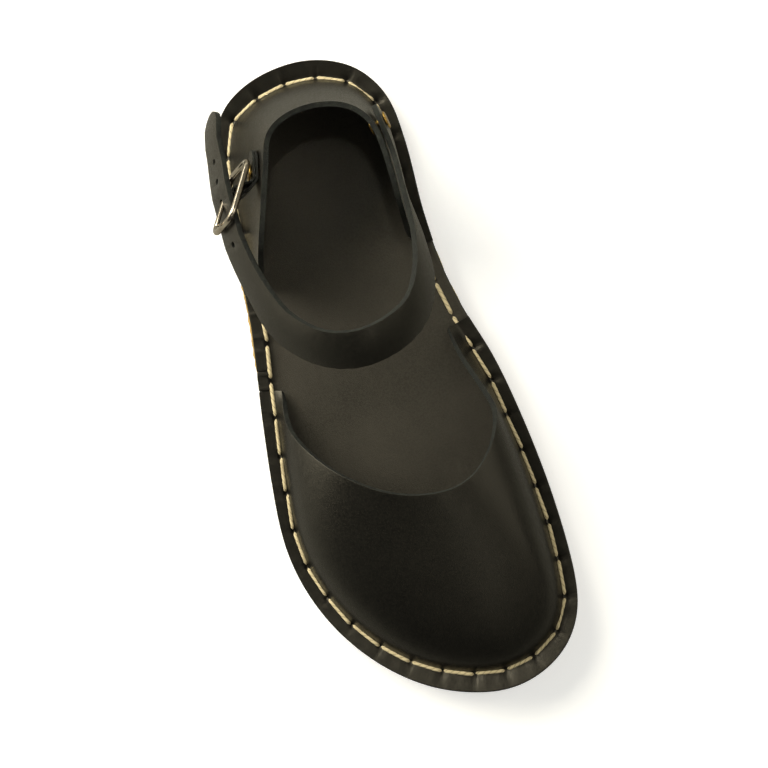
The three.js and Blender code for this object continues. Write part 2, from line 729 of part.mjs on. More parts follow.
// The buckle's own directions, worked out from the strap that runs through it: under the
// front rail, over the bar with the tab folded round it, and off the back rail.
const buckle = (() => {
  const lean = THREE.MathUtils.degToRad(BUCKLE_SEAT.lean);
  const slope = THREE.MathUtils.degToRad(BUCKLE_SEAT.slope);
  const back = new THREE.Vector3(0, -Math.cos(slope), -Math.sin(slope));
  const width = new THREE.Vector3(-Math.sin(lean), 0, Math.cos(lean));
  width.addScaledVector(back, -width.dot(back)).normalize();
  const face = width.clone().cross(back);
  const barToStrap = BAR_DIAMETER / 2 + TAB_THICKNESS + 2 * FIT_GAP + STRAP_THICKNESS / 2;
  const railToStrap = BUCKLE_RIM / 2 + 2 * FIT_GAP + STRAP_THICKNESS / 2;
  const halfLength = (BUCKLE_LENGTH - BUCKLE_RIM) / 2;
  const skew = Math.asin((barToStrap + railToStrap + BUCKLE_ARCH) / halfLength);
  const front = back.clone().multiplyScalar(-Math.cos(skew)).addScaledVector(face, Math.sin(skew));
  const outward = face.clone().multiplyScalar(Math.cos(skew)).addScaledVector(back, Math.sin(skew));
  const railToWall = BUCKLE_RIM / 2 + 2 * TAB_THICKNESS + TAB_LAYER_GAP + BUCKLE_OVER_TAB;
  const standoff = barToStrap + railToStrap + BUCKLE_ARCH + railToWall;
  const bar = barSeat.point.clone().addScaledVector(barSeat.normal, standoff);
  const innerWidth = STRAP_WIDTH + 2 * BUCKLE_SIDE_CLEARANCE;
  return { back, width, face, front, outward, bar, barToStrap, halfLength, skew, innerWidth };
})();

// Place in the buckle's frame: forwards along it, outwards from it and up its bar.
function bucklePoint(forward, outward, up = 0) {
  return buckle.bar.clone()
    .addScaledVector(buckle.front, forward)
    .addScaledVector(buckle.outward, outward)
    .addScaledVector(buckle.width, up);
}

// Height of the arched frame over the flat at a place along it.
function archAt(forward) {
  const share = forward / buckle.halfLength;
  return -BUCKLE_ARCH * share * share;
}

function strapKnots() {
  const knots = [];
  const seatLift = SEAT_GAP + STRAP_THICKNESS / 2;
  const seats = STRAP_SEAT_ROWS.map((row) => seatOn(counterPanel, row, INNER_SIDE.from, INNER_SIDE.to));
  const onWall = seats.map((seat) => seat.point.clone().addScaledVector(seat.normal, seatLift));
  const run = onWall[1].clone().sub(onWall[0]).normalize();
  const wallWidth = (seat) => seat.normal.clone().cross(run).negate().normalize();
  const flatRun = run.clone().addScaledVector(seats[0].normal, -run.dot(seats[0].normal)).normalize();
  knots.push({
    point: onWall[0].clone().addScaledVector(flatRun, -STRAP_END_BEHIND_RIVET),
    width: wallWidth(seats[0]),
  });
  seats.forEach((seat, index) => knots.push({ point: onWall[index], width: wallWidth(seat) }));
  const freeKnot = (row, inward) => {
    const lean = THREE.MathUtils.degToRad(row.lean);
    return {
      point: new THREE.Vector3(
        row.across * BALL_WIDTH,
        (row.along - 0.5) * SHOE_LENGTH,
        CREASE_BASE + row.up * COUNTER_HEIGHT,
      ),
      width: inward.clone().multiplyScalar(Math.sin(lean)).addScaledVector(UP, Math.cos(lean)),
    };
  };
  const ankle = new THREE.Vector3(0, (STRAP_FREE_ROWS[0].along - 0.5) * SHOE_LENGTH, 0);
  STRAP_FREE_ROWS.forEach((row) => {
    const place = new THREE.Vector3(row.across * BALL_WIDTH, (row.along - 0.5) * SHOE_LENGTH, 0);
    knots.push(freeKnot(row, ankle.clone().sub(place).normalize()));
  });
  const line = buckle.bar.clone().addScaledVector(buckle.face, buckle.barToStrap);
  const railBack = buckle.halfLength * Math.cos(buckle.skew);
  [-railBack - STRAIGHT_BEFORE_BUCKLE, -railBack, -railBack / 2, 0, BAR_DIAMETER].forEach((place) => {
    knots.push({ point: line.clone().addScaledVector(buckle.back, place), width: buckle.width.clone() });
  });
  STRAP_TIP_ROWS.forEach((row) => knots.push(freeKnot(row, new THREE.Vector3(-1, 0, 0))));
  return knots;
}

const strap = strapFrames(strapKnots(), STRAP_STATIONS);

// The prong lies from the bar to the front rail.
const PRONG_RADIUS = PRONG_DIAMETER / 2;
const PRONG_LOOP = BAR_DIAMETER / 2 + FIT_GAP + PRONG_RADIUS;
const PRONG_REST = -BUCKLE_ARCH + BUCKLE_RIM / 2 + FIT_GAP + PRONG_RADIUS;
const PRONG_TIP = buckle.halfLength + BUCKLE_RIM / 2;

// Share of the strap's length where the prong goes through it, looked for near its free end.
const PRONG_SEARCH = { from: 0.6, to: 0.95 };
const prongShare = (() => {
  const start = bucklePoint(0, PRONG_LOOP);
  const end = bucklePoint(buckle.halfLength, PRONG_REST);
  let best = 0;
  let bestMiss = Infinity;
  const needle = new THREE.Line3(start, end);
  for (let share = PRONG_SEARCH.from; share < PRONG_SEARCH.to; share += SEARCH_STEP / 2) {
    const point = strap.frameAt(share).point;
    const miss = needle.closestPointToPoint(point, true, new THREE.Vector3()).distanceTo(point);
    if (miss < bestMiss) {
      best = share;
      bestMiss = miss;
    }
  }
  return best;
})();

const RIVET_SEARCH_END = 0.2;

// Place and direction of a rivet through a band that lies over a seat on the counter.
function rivetThrough(frames, seat, lift, upTo) {
  const target = seat.point.clone().addScaledVector(seat.normal, lift);
  let best = frames.frameAt(0);
  for (let share = 0; share <= upTo; share += SEARCH_STEP) {
    const frame = frames.frameAt(share);
    if (frame.point.distanceTo(target) < best.point.distanceTo(target)) {
      best = frame;
    }
  }
  return { point: best.point.clone().addScaledVector(best.face, -lift), normal: best.face };
}

const strapRivet = rivetThrough(strap, innerRivetSeat, SEAT_GAP + STRAP_THICKNESS / 2, RIVET_SEARCH_END);

// The strap ends a set length beyond its last hole.
const strapEndShare = prongShare + (HOLES_TOWARDS_TIP * HOLE_SPACING + TIP_BEYOND_HOLES) / strap.total;
const trimmedStrap = {
  total: strap.total * Math.min(strapEndShare, 1),
  count: strap.count,
  frameAt: (share) => strap.frameAt(share * Math.min(strapEndShare, 1)),
};

function ankleStrapGeometry() {
  const band = bandGeometry(trimmedStrap, STRAP_WIDTH, STRAP_THICKNESS, true, true);
  const tools = [];
  for (let hole = -HOLES_TOWARDS_FRONT; hole <= HOLES_TOWARDS_TIP; hole += 1) {
    const frame = strap.frameAt(prongShare + hole * HOLE_SPACING / strap.total);
    tools.push(drill(frame.point, frame.face, HOLE_DIAMETER, 4 * STRAP_THICKNESS));
  }
  const start = bucklePoint(-1, PRONG_LOOP);
  const end = bucklePoint(PRONG_TIP + 1, PRONG_REST);
  const along = end.clone().sub(start);
  const clear = PRONG_DIAMETER + 2 * FIT_GAP;
  tools.push(drill(start.clone().lerp(end, 0.5), along.clone().normalize(), clear, along.length()));
  tools.push(drill(strapRivet.point, strapRivet.normal, RIVET_SHANK_DIAMETER + 2 * SHANK_CLEARANCE, DRILL_LENGTH));
  return cut(band, tools);
}

// The frame of the buckle: a rounded rectangle of round rod, slightly arched, with its bar.
function buckleFrameGeometry() {
  const halfLength = buckle.halfLength;
  const halfWidth = (buckle.innerWidth + BUCKLE_RIM) / 2;
  const cornerSteps = 4;
  const centres = [
    { forward: halfLength - BUCKLE_CORNER, up: halfWidth - BUCKLE_CORNER, turn: 0 },
    { forward: -halfLength + BUCKLE_CORNER, up: halfWidth - BUCKLE_CORNER, turn: Math.PI / 2 },
    { forward: -halfLength + BUCKLE_CORNER, up: -halfWidth + BUCKLE_CORNER, turn: Math.PI },
    { forward: halfLength - BUCKLE_CORNER, up: -halfWidth + BUCKLE_CORNER, turn: 1.5 * Math.PI },
  ];
  const sides = 8;
  const rings = [];
  centres.forEach((centre, corner) => {
    for (let step = 0; step <= cornerSteps; step += 1) {
      const angle = centre.turn + Math.PI / 2 * step / cornerSteps;
      rings.push({
        forward: centre.forward + BUCKLE_CORNER * Math.cos(angle),
        up: centre.up + BUCKLE_CORNER * Math.sin(angle),
        angle,
      });
    }
    if (corner === 0 || corner === 2) {
      const side = corner === 0 ? 1 : -1;
      const angle = corner === 0 ? Math.PI / 2 : 1.5 * Math.PI;
      [0.5, 0, -0.5].forEach((part) => rings.push({
        forward: side * part * halfLength,
        up: side * halfWidth,
        angle,
      }));
    }
  });
  const loops = rings.map((ring) => Array.from({ length: sides }, (_, side) => {
    const tilt = 2 * Math.PI * (side + 0.5) / sides;
    const reach = BUCKLE_RIM / 2 * Math.cos(tilt);
    const forward = ring.forward + reach * Math.cos(ring.angle);
    const up = ring.up + reach * Math.sin(ring.angle);
    return bucklePoint(forward, archAt(ring.forward) + BUCKLE_RIM / 2 * Math.sin(tilt), up);
  }));
  const corners = [];
  addRings(corners, [...loops, loops[0]]);
  const frame = bodyFrom(corners);
  const reach = (halfWidth - BAR_TO_RIM_CLEARANCE) * 2;
  const bar = drill(buckle.bar, buckle.width, BAR_DIAMETER, reach);
  return join([frame, bar]);
}

// The prong's loop round the bar, in degrees from the front of the buckle.
const PRONG_WRAP = { start: -60, sweep: 210, steps: 9 };

function buckleProngGeometry() {
  const path = [];
  for (let step = 0; step <= PRONG_WRAP.steps; step += 1) {
    const degrees = PRONG_WRAP.start - PRONG_WRAP.sweep * step / PRONG_WRAP.steps;
    const angle = THREE.MathUtils.degToRad(degrees);
    path.push(bucklePoint(PRONG_LOOP * Math.cos(angle), PRONG_LOOP * Math.sin(angle)));
  }
  path.push(bucklePoint(buckle.halfLength, PRONG_REST));
  path.push(bucklePoint(PRONG_TIP, PRONG_REST - PRONG_TIP_DROP));
  return rodGeometry(path, buckle.width, PRONG_RADIUS, 8);
}

// The rivet of the tab lies under the back rail of the buckle.
const tabRivet = (() => {
  const above = bucklePoint(-buckle.halfLength * TAB_RIVET_SHARE, 0);
  return seatOn(
    counterPanel,
    { along: above.y / SHOE_LENGTH + 0.5, up: (above.z - CREASE_BASE) / COUNTER_HEIGHT },
    OUTER_SIDE.from,
    OUTER_SIDE.to,
  );
})();

function tabKnots() {
  const lowLift = SEAT_GAP + TAB_THICKNESS / 2;
  const highLift = lowLift + TAB_THICKNESS + TAB_LAYER_GAP;
  const loop = BAR_DIAMETER / 2 + FIT_GAP + TAB_THICKNESS / 2;
  const toBar = buckle.bar.clone().sub(tabRivet.point);
  const run = toBar.addScaledVector(tabRivet.normal, -toBar.dot(tabRivet.normal)).normalize();
  const width = tabRivet.normal.clone().cross(run).normalize();
  const underHead = RIVET_HEAD_DIAMETER / 2;
  const onWall = (place, lift) => ({
    point: tabRivet.point.clone().addScaledVector(run, place).addScaledVector(tabRivet.normal, lift),
    width: width.clone(),
  });
  const flats = [-TAB_END_BEHIND_RIVET, -underHead, 0, underHead];
  const knots = flats.map((place) => onWall(place, lowLift));
  const toWall = onWall(underHead, lowLift).point.sub(buckle.bar);
  const pull = Math.atan2(toWall.dot(buckle.outward), toWall.dot(buckle.front));
  [-1, -0.5, 0, 0.5, 1].forEach((part) => {
    const angle = pull + Math.PI + part * THREE.MathUtils.degToRad(TAB_WRAP);
    knots.push({ point: bucklePoint(loop * Math.cos(angle), loop * Math.sin(angle)), width: buckle.width.clone() });
  });
  [...flats].reverse().forEach((place) => knots.push(onWall(place, highLift)));
  return knots;
}

function buckleTabGeometry() {
  const frames = strapFrames(tabKnots(), TAB_STATIONS);
  const band = bandGeometry(frames, TAB_WIDTH, TAB_THICKNESS, true, true);
  const prongReach = 2 * (PRONG_LOOP + PRONG_RADIUS + FIT_GAP);
  const slot = new THREE.BoxGeometry(prongReach, prongReach, PRONG_DIAMETER + 2 * FIT_GAP);
  const turn = new THREE.Matrix4().makeBasis(buckle.outward, buckle.front, buckle.width);
  turn.setPosition(buckle.bar);
  slot.applyMatrix4(turn);
  const hole = drill(tabRivet.point, tabRivet.normal, RIVET_SHANK_DIAMETER + 2 * SHANK_CLEARANCE, DRILL_LENGTH);
  return cut(band, [slot, hole]);
}

function heelCounterGeometry() {
  const tools = [strapRivet, tabRivet].map(
    (seat) => drill(seat.point, seat.normal, RIVET_SHANK_DIAMETER + 2 * SHANK_CLEARANCE, DRILL_LENGTH),
  );
  return cut(panelGeometry(counterPanel, COUNTER_STATIONS), tools);
}

// A rivet through the counter and what lies on it, with a flat head and a washer inside.
function rivetGeometry(seat, outside) {
  const shank = RIVET_SHANK_DIAMETER / 2;
  const head = RIVET_HEAD_DIAMETER / 2;
  const under = outside + FIT_GAP;
  const inside = -UPPER_WALL - SEAT_GAP;
  const profile = [
    [0, inside - RIVET_WASHER_HEIGHT],
    [head - RIVET_EDGE_WIDTH, inside - RIVET_WASHER_HEIGHT],
    [head, inside - RIVET_WASHER_HEIGHT / 2],
    [head, inside],
    [shank, inside],
    [shank, under],
    [head, under],
    [head, under + RIVET_HEAD_HEIGHT / 2],
    [head - RIVET_EDGE_WIDTH, under + RIVET_HEAD_HEIGHT],
    [0, under + RIVET_HEAD_HEIGHT],
  ].map(([radius, height]) => new THREE.Vector2(radius, height));
  const geometry = new THREE.LatheGeometry(profile, 16);
  const turn = new THREE.Quaternion().setFromUnitVectors(new THREE.Vector3(0, 1, 0), seat.normal);
  return geometry.applyQuaternion(turn).translate(seat.point.x, seat.point.y, seat.point.z);
}

const group = new THREE.Group();

function addPiece(name, geometry, finish) {
  const mesh = new THREE.Mesh(geometry, new THREE.MeshStandardMaterial(FINISHES[finish]));
  mesh.name = name;
  group.add(mesh);
}

addPiece('outsole', outsoleGeometry(), 'sole');
addPiece('insole', insoleGeometry(), 'insole');
addPiece('vamp', panelGeometry(vampPanel, VAMP_STATIONS), 'upper');
addPiece('heel_counter', heelCounterGeometry(), 'upper');
addPiece('welt_strip', weltGeometry(
  shareAt(COUNTER_END, true) + JOINT_SHARE,
  shareAt(PATCH_END, true) - JOINT_SHARE,
  8,
), 'upper');
addPiece('welt_patch', weltGeometry(
  shareAt(PATCH_END, true),
  shareAt(VAMP_OUTER_END, true) - JOINT_SHARE,
  2,
), 'upper');
addPiece('ankle_strap', ankleStrapGeometry(), 'upper');
addPiece('buckle_tab', buckleTabGeometry(), 'upper');
addPiece('buckle_frame', buckleFrameGeometry(), 'nickel');
addPiece('buckle_prong', buckleProngGeometry(), 'nickel');
addPiece('rivet_inner_side', rivetGeometry(strapRivet, SEAT_GAP + STRAP_THICKNESS), 'brass');
addPiece('rivet_outer_side', rivetGeometry(tabRivet, SEAT_GAP + 2 * TAB_THICKNESS + TAB_LAYER_GAP), 'brass');

export default group;
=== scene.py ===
"""Dresses a black leather ankle-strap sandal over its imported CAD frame.

Everything is in metres in the frame of the CAD: +Z is up, +Y runs from heel to toe and
+X is the outer side of the right foot. The leather pieces, the prong and the rivets are
finer copies of their nodes. The buckle's frame, the stitches and the loose fibres are
modelled here.
"""

import json
import logging
import math
import random
from dataclasses import dataclass, field
from enum import Enum

import bmesh
import bpy
import numpy as np
from bpy.types import Material, Mesh, Node, NodeSocket, NodeTree, Object
from mathutils import Matrix, Vector
from mathutils.bvhtree import BVHTree
from mathutils.kdtree import KDTree

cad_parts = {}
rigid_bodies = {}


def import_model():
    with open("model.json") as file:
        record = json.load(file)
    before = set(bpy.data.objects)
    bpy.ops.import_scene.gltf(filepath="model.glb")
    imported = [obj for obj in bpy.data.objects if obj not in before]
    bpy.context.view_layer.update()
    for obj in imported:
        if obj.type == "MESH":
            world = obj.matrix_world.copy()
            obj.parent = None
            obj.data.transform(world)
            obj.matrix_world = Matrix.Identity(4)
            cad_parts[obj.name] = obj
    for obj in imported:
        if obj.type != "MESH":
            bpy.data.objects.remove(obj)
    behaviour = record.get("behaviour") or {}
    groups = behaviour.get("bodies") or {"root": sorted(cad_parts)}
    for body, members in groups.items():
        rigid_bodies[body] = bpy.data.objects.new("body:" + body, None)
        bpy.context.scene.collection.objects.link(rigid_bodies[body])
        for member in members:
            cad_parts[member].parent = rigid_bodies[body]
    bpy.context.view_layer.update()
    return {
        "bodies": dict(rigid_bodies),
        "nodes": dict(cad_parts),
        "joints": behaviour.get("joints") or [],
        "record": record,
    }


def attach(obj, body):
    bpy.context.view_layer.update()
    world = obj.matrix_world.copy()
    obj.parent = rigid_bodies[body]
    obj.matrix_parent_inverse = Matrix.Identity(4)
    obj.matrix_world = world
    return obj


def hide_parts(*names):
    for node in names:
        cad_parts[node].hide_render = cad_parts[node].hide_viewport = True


LOG = logging.getLogger("sandal")
MM = 0.001
BODY = "root"

# Names of the values that are stored on vertices
SEAM = "seam"
PLY = "ply"

# Material slots of a leather piece
FACE_SLOT = 0
EDGE_SLOT = 1

Pair = tuple[float, float]
Triple = tuple[float, float, float]
Colour = tuple[float, float, float, float]
Inputs = dict[str | int, object]

# Places of a Mix node's colours among its sockets
MIX_FIRST = 6
MIX_SECOND = 7
MIX_RESULT = 2


class Slot(Enum):
    """The record's material slots."""

    SOLE = "sole_leather"
    INSOLE = "insole_leather"
    UPPER = "upper_leather"
    STRAP = "strap_leather"
    NICKEL = "nickel"
    BRASS = "brass"


def from_srgb(red: int, green: int, blue: int) -> Colour:
    """A colour as seen on screen, as a linear colour with alpha 1.

    Args:
        red: Its red, from 0 to 255.
        green: Its green, from 0 to 255.
        blue: Its blue, from 0 to 255.

    Returns:
        The linear colour.
    """
    shares = [channel / 255 for channel in (red, green, blue)]
    linear = [s / 12.92 if s <= 0.04045 else ((s + 0.055) / 1.055) ** 2.4 for s in shares]
    return (linear[0], linear[1], linear[2], 1.0)


# Node trees


class Board:
    """Adds nodes to one node tree and joins them."""

    def __init__(self, tree: NodeTree) -> None:
        """Works on the given tree."""
        self.tree = tree

    def add(self, kind: str, inputs: Inputs | None = None, **settings: object) -> Node:
        """Adds a node.

        Args:
            kind: Blender's name of the node.
            inputs: Its inputs, as sockets or plain values.
            settings: Its properties and their values.

        Returns:
            The new node.
        """
        node = self.tree.nodes.new(kind)
        for name, value in settings.items():
            setattr(node, name, value)
        self.feed(node, inputs or {})
        return node

    def feed(self, node: Node, inputs: Inputs) -> None:
        """Links the inputs that are given as sockets, and sets the others.

        Args:
            node: The node.
            inputs: Its inputs, as sockets or plain values.
        """
        for name, value in inputs.items():
            if isinstance(value, NodeSocket):
                self.tree.links.new(value, node.inputs[name])
            else:
                node.inputs[name].default_value = value

    def maths(self, operation: str, first: object, second: object = 0.0) -> NodeSocket:
        """Combines two values, each a socket or a number."""
        return self.add("ShaderNodeMath", {0: first, 1: second}, operation=operation).outputs[0]

    def times(self, first: object, second: object) -> NodeSocket:
        """Multiplies two values."""
        return self.maths("MULTIPLY", first, second)

    def plus(self, first: object, second: object) -> NodeSocket:
        """Adds two values."""
        return self.maths("ADD", first, second)

    def spread(
        self, value: object, low: float, high: float, start: float = 0.0, end: float = 1.0
    ) -> NodeSocket:
        """Maps a value smoothly from one range to another.

        Args:
            value: The socket to map.
            low: The value that gives start.
            high: The value that gives end.
            start: The result at low.
            end: The result at high.

        Returns:
            The output socket.
        """
        inputs = {"Value": value, "From Min": low, "From Max": high, "To Min": start, "To Max": end}
        return self.add("ShaderNodeMapRange", inputs, interpolation_type="SMOOTHSTEP").outputs["Result"]

    def noise(self, place: NodeSocket, clouds: float, detail: float = 3.0) -> NodeSocket:
        """A cloudy noise with a number of clouds in a metre and of finer octaves."""
        inputs = {"Vector": place, "Scale": clouds, "Detail": detail}
        return self.add("ShaderNodeTexNoise", inputs).outputs["Fac"]

    def stretched(self, place: NodeSocket, stretch: Triple) -> NodeSocket:
        """Scales coordinates by a factor along each axis."""
        return self.add("ShaderNodeMapping", {"Vector": place, "Scale": stretch}).outputs["Vector"]

    def blend(self, share: object, first: object, second: object) -> NodeSocket:
        """Mixes two colours, with a share of the second."""
        inputs = {"Factor": share, MIX_FIRST: first, MIX_SECOND: second}
        return self.add("ShaderNodeMix", inputs, data_type="RGBA").outputs[MIX_RESULT]

    def effect(self, group: NodeTree, **inputs: object) -> Node:
        """Places a shared effect with its inputs."""
        return self.add("ShaderNodeGroup", inputs, node_tree=group)


class Effect:
    """A shared effect as a node group, built once."""

    name = "effect"
    takes: tuple[tuple[str, str], ...] = ()
    gives: tuple[tuple[str, str], ...] = ()

    @classmethod
    def group(cls) -> NodeTree:
        """The node group, made at its first use.

        Returns:
            The group.
        """
        known = bpy.data.node_groups.get(cls.name)
        if known is not None:
            return known
        tree = bpy.data.node_groups.new(cls.name, "ShaderNodeTree")
        for name, kind in cls.takes:
            tree.interface.new_socket(name=name, in_out="INPUT", socket_type=kind)
        for name, kind in cls.gives:
            tree.interface.new_socket(name=name, in_out="OUTPUT", socket_type=kind)
        board = Board(tree)
        cls.lay(board, board.add("NodeGroupInput"), board.add("NodeGroupOutput"))
        return tree

    @classmethod
    def lay(cls, board: Board, taken: Node, given: Node) -> None:
        """Lays the nodes of the effect between its input and output nodes."""
        raise NotImplementedError


class GrainEffect(Effect):
    """Full-grain leather: small uneven cells, fine pores and slow mottling.

    The numbers of clouds are counted per metre.
    """

    name = "leather_grain"
    takes = (("Place", "NodeSocketVector"), ("Cells", "NodeSocketFloat"))
    gives = (
        ("Height", "NodeSocketFloat"),
        ("Mottle", "NodeSocketFloat"),
        ("Scuffs", "NodeSocketFloat"),
        ("Speckle", "NodeSocketFloat"),
    )
    warps = 420.0
    warp_reach = 0.7 * MM
    groove_share = 0.16
    cell_share = 0.6
    pores = 3600.0
    specks = 1300.0
    clouds = 24.0
    scratches = 700.0
    scratch_stretch = (1.0, 0.16, 1.0)
    scratched_patches = 60.0
    mottle_band = (0.34, 0.66)
    speck_band = (0.36, 0.64)
    scratch_band = (0.58, 0.72)
    patch_band = (0.5, 0.75)

    @classmethod
    def lay(cls, board: Board, taken: Node, given: Node) -> None:
        """Lays cells, pores, mottling and scuffs.

        Args:
            board: The group's board.
            taken: The group's input node.
            given: The group's output node.
        """
        place = taken.outputs["Place"]
        warp = board.add("ShaderNodeTexNoise", {"Vector": place, "Scale": cls.warps})
        shifts = {0: warp.outputs["Color"], 1: (cls.warp_reach,) * 3, 2: place}
        bent = board.add("ShaderNodeVectorMath", shifts, operation="MULTIPLY_ADD")
        net = {"Vector": bent.outputs["Vector"], "Scale": taken.outputs["Cells"]}
        cells = board.add("ShaderNodeTexVoronoi", net, feature="DISTANCE_TO_EDGE")
        raised = board.spread(cells.outputs["Distance"], 0.0, cls.groove_share)
        pores = board.noise(place, cls.pores, 2.0)
        specks = board.noise(place, cls.specks, 5.0)
        slow = board.noise(place, cls.clouds, 6.0)
        lines = board.noise(board.stretched(place, cls.scratch_stretch), cls.scratches, 3.0)
        patches = board.spread(board.noise(place, cls.scratched_patches, 2.0), *cls.patch_band)
        fine = board.times(pores, 1 - cls.cell_share)
        results = {
            "Height": board.plus(board.times(raised, cls.cell_share), fine),
            "Speckle": board.spread(specks, *cls.speck_band),
            "Mottle": board.spread(slow, *cls.mottle_band),
            "Scuffs": board.times(board.spread(lines, *cls.scratch_band), patches),
        }
        board.feed(given, results)


class CutEdgeEffect(Effect):
    """A raw cut edge: layers of short fibres."""

    name = "cut_edge"
    takes = (("Place", "NodeSocketVector"),)
    gives = (("Height", "NodeSocketFloat"), ("Tint", "NodeSocketFloat"))
    fibres = 1500.0
    fibre_stretch = (1.0, 1.0, 2.2)
    clumps = 420.0
    fibre_share = 0.65
    clump_share = 0.5
    tint_band = (0.42, 0.74)

    @classmethod
    def lay(cls, board: Board, taken: Node, given: Node) -> None:
        """Lays fibres and clumps.

        Args:
            board: The group's board.
            taken: The group's input node.
            given: The group's output node.
        """
        place = taken.outputs["Place"]
        fibres = board.noise(board.stretched(place, cls.fibre_stretch), cls.fibres, 4.0)
        clumps = board.noise(place, cls.clumps, 3.0)
        height = board.plus(board.times(fibres, cls.fibre_share), board.times(clumps, cls.clump_share))
        board.feed(given, {"Height": height, "Tint": board.spread(height, *cls.tint_band)})


class StitchPullEffect(Effect):
    """Leather drawn down by the stitches: awl holes in the gaps and pulled rays beside them.

    Seam holds the cosine and sine of the place between two gaps and the place across the
    margin, which is 0 on the edge and 1 on the line of stitches.
    """

    name = "stitch_pull"
    takes = (("Seam", "NodeSocketVector"),)
    # Hole marks the awl holes, where the leather's finish paints shade; Height presses them in.
    gives = (("Hole", "NodeSocketFloat"), ("Height", "NodeSocketFloat"))
    ray_share = 0.3
    hole_band = (0.86, 0.985)
    hole_fade = (0.06, 0.26)
    gap_band = (0.6, 1.0)
    ray_fade = (0.1, 0.9)

    @classmethod
    def lay(cls, board: Board, taken: Node, given: Node) -> None:
        """Lays the holes and the rays.

        Args:
            board: The group's board.
            taken: The group's input node.
            given: The group's output node.
        """
        parts = board.add("ShaderNodeSeparateXYZ", {0: taken.outputs["Seam"]})
        off_line = board.maths("ABSOLUTE", board.maths("SUBTRACT", parts.outputs["Z"], 1.0))
        on_line = board.spread(off_line, *cls.hole_fade, 1.0, 0.0)
        hole = board.times(board.spread(parts.outputs["X"], *cls.hole_band), on_line)
        near_gap = board.spread(parts.outputs["X"], *cls.gap_band)
        ray = board.times(near_gap, board.spread(off_line, *cls.ray_fade, 1.0, 0.0))
        deep = board.plus(board.times(hole, 1 - cls.ray_share), board.times(ray, cls.ray_share))
        board.feed(given, {"Hole": hole, "Height": board.times(deep, -1.0)})


# Finishes


class Finish:
    """A material with a Principled shader, a surface coordinate and a bump."""

    name: str

    def begin(self) -> tuple[Board, Node, NodeSocket]:
        """Makes the material's tree.

        Returns:
            The board, the Principled shader and the object coordinates.
        """
        material = bpy.data.materials.new(self.name)
        material.use_nodes = True
        material.node_tree.nodes.clear()
        board = Board(material.node_tree)
        shader = board.add("ShaderNodeBsdfPrincipled")
        board.add("ShaderNodeOutputMaterial", {"Surface": shader.outputs["BSDF"]})
        return board, shader, board.add("ShaderNodeTexCoord").outputs["Object"]

    def emboss(self, board: Board, shader: Node, height: NodeSocket, depth: float) -> None:
        """Joins a height to the shader's normal.

        Args:
            board: The material's board.
            shader: The Principled shader.
            height: The height, about 0 to 1.
            depth: The depth of a height of 1, in metres.
        """
        bump = board.add("ShaderNodeBump", {"Strength": 1.0, "Distance": depth, "Height": height})
        board.feed(shader, {"Normal": bump.outputs["Normal"]})

    def material(self) -> Material:
        """The material, built at its first use."""
        return bpy.data.materials.get(self.name) or self.build()

    def build(self) -> Material:
        """Builds the material."""
        raise NotImplementedError


@dataclass(frozen=True)
class GrainLeather(Finish):
    """Dyed full-grain leather with a soft sheen, drawn down where it is stitched, with shade painted into
    the awl holes.
    """

    name: str
    dark: Colour
    light: Colour
    scuff: Colour
    cells: float = 1900.0
    grain_depth: float = 0.034 * MM
    pull_depth: float = 0.0
    rough_low: float = 0.28
    rough_high: float = 0.4
    coat: float = 0.1
    speckle: float = 0.1
    scuffed: float = 0.2
    hole_shade_colour: Colour = (0.002, 0.002, 0.002, 1.0)
    hole_shade_strength: float = 0.85
    reflected: Colour = (1.0, 0.93, 0.74, 1.0)

    def build(self) -> Material:
        """Builds the leather.

        Returns:
            The material.
        """
        board, shader, place = self.begin()
        grain = board.effect(GrainEffect.group(), Place=place, Cells=self.cells)
        colour = board.blend(grain.outputs["Mottle"], self.dark, self.light)
        specks = board.times(grain.outputs["Speckle"], self.speckle)
        colour = board.blend(specks, colour, self.scuff)
        scuffs = board.times(grain.outputs["Scuffs"], self.scuffed)
        colour = board.blend(scuffs, colour, self.scuff)
        height = board.times(grain.outputs["Height"], self.grain_depth / MM)
        if self.pull_depth:
            seam = board.add("ShaderNodeAttribute", attribute_name=SEAM)
            pull = board.effect(StitchPullEffect.group(), Seam=seam.outputs["Vector"])
            # Painted shade: the awl holes are blended to near black, standing in for the shade inside them.
            holes = board.times(pull.outputs["Hole"], self.hole_shade_strength)
            colour = board.blend(holes, colour, self.hole_shade_colour)
            pulled = board.times(pull.outputs["Height"], self.pull_depth / MM)
            height = board.plus(height, pulled)
        uneven = board.plus(board.times(grain.outputs["Mottle"], 0.5), grain.outputs["Speckle"])
        looks = {
            "Base Color": colour,
            "Roughness": board.spread(uneven, 0.0, 1.5, self.rough_low, self.rough_high),
            "Specular IOR Level": 0.36,
            "Specular Tint": self.reflected,
            "Coat Weight": self.coat,
            "Coat Roughness": 0.32,
        }
        board.feed(shader, looks)
        self.emboss(board, shader, height, MM)
        return bpy.data.materials[self.name]


@dataclass(frozen=True)
class RawEdge(Finish):
    """The raw cut edge of leather, with open fibres."""

    name: str
    dark: Colour
    light: Colour
    depth: float = 0.22 * MM

    def build(self) -> Material:
        """Builds the edge.

        Returns:
            The material.
        """
        board, shader, place = self.begin()
        edge = board.effect(CutEdgeEffect.group(), Place=place)
        looks = {
            "Base Color": board.blend(edge.outputs["Tint"], self.dark, self.light),
            "Roughness": board.spread(edge.outputs["Tint"], 0.0, 1.0, 0.78, 0.95),
            "Specular IOR Level": 0.3,
        }
        board.feed(shader, looks)
        self.emboss(board, shader, edge.outputs["Height"], self.depth)
        return bpy.data.materials[self.name]


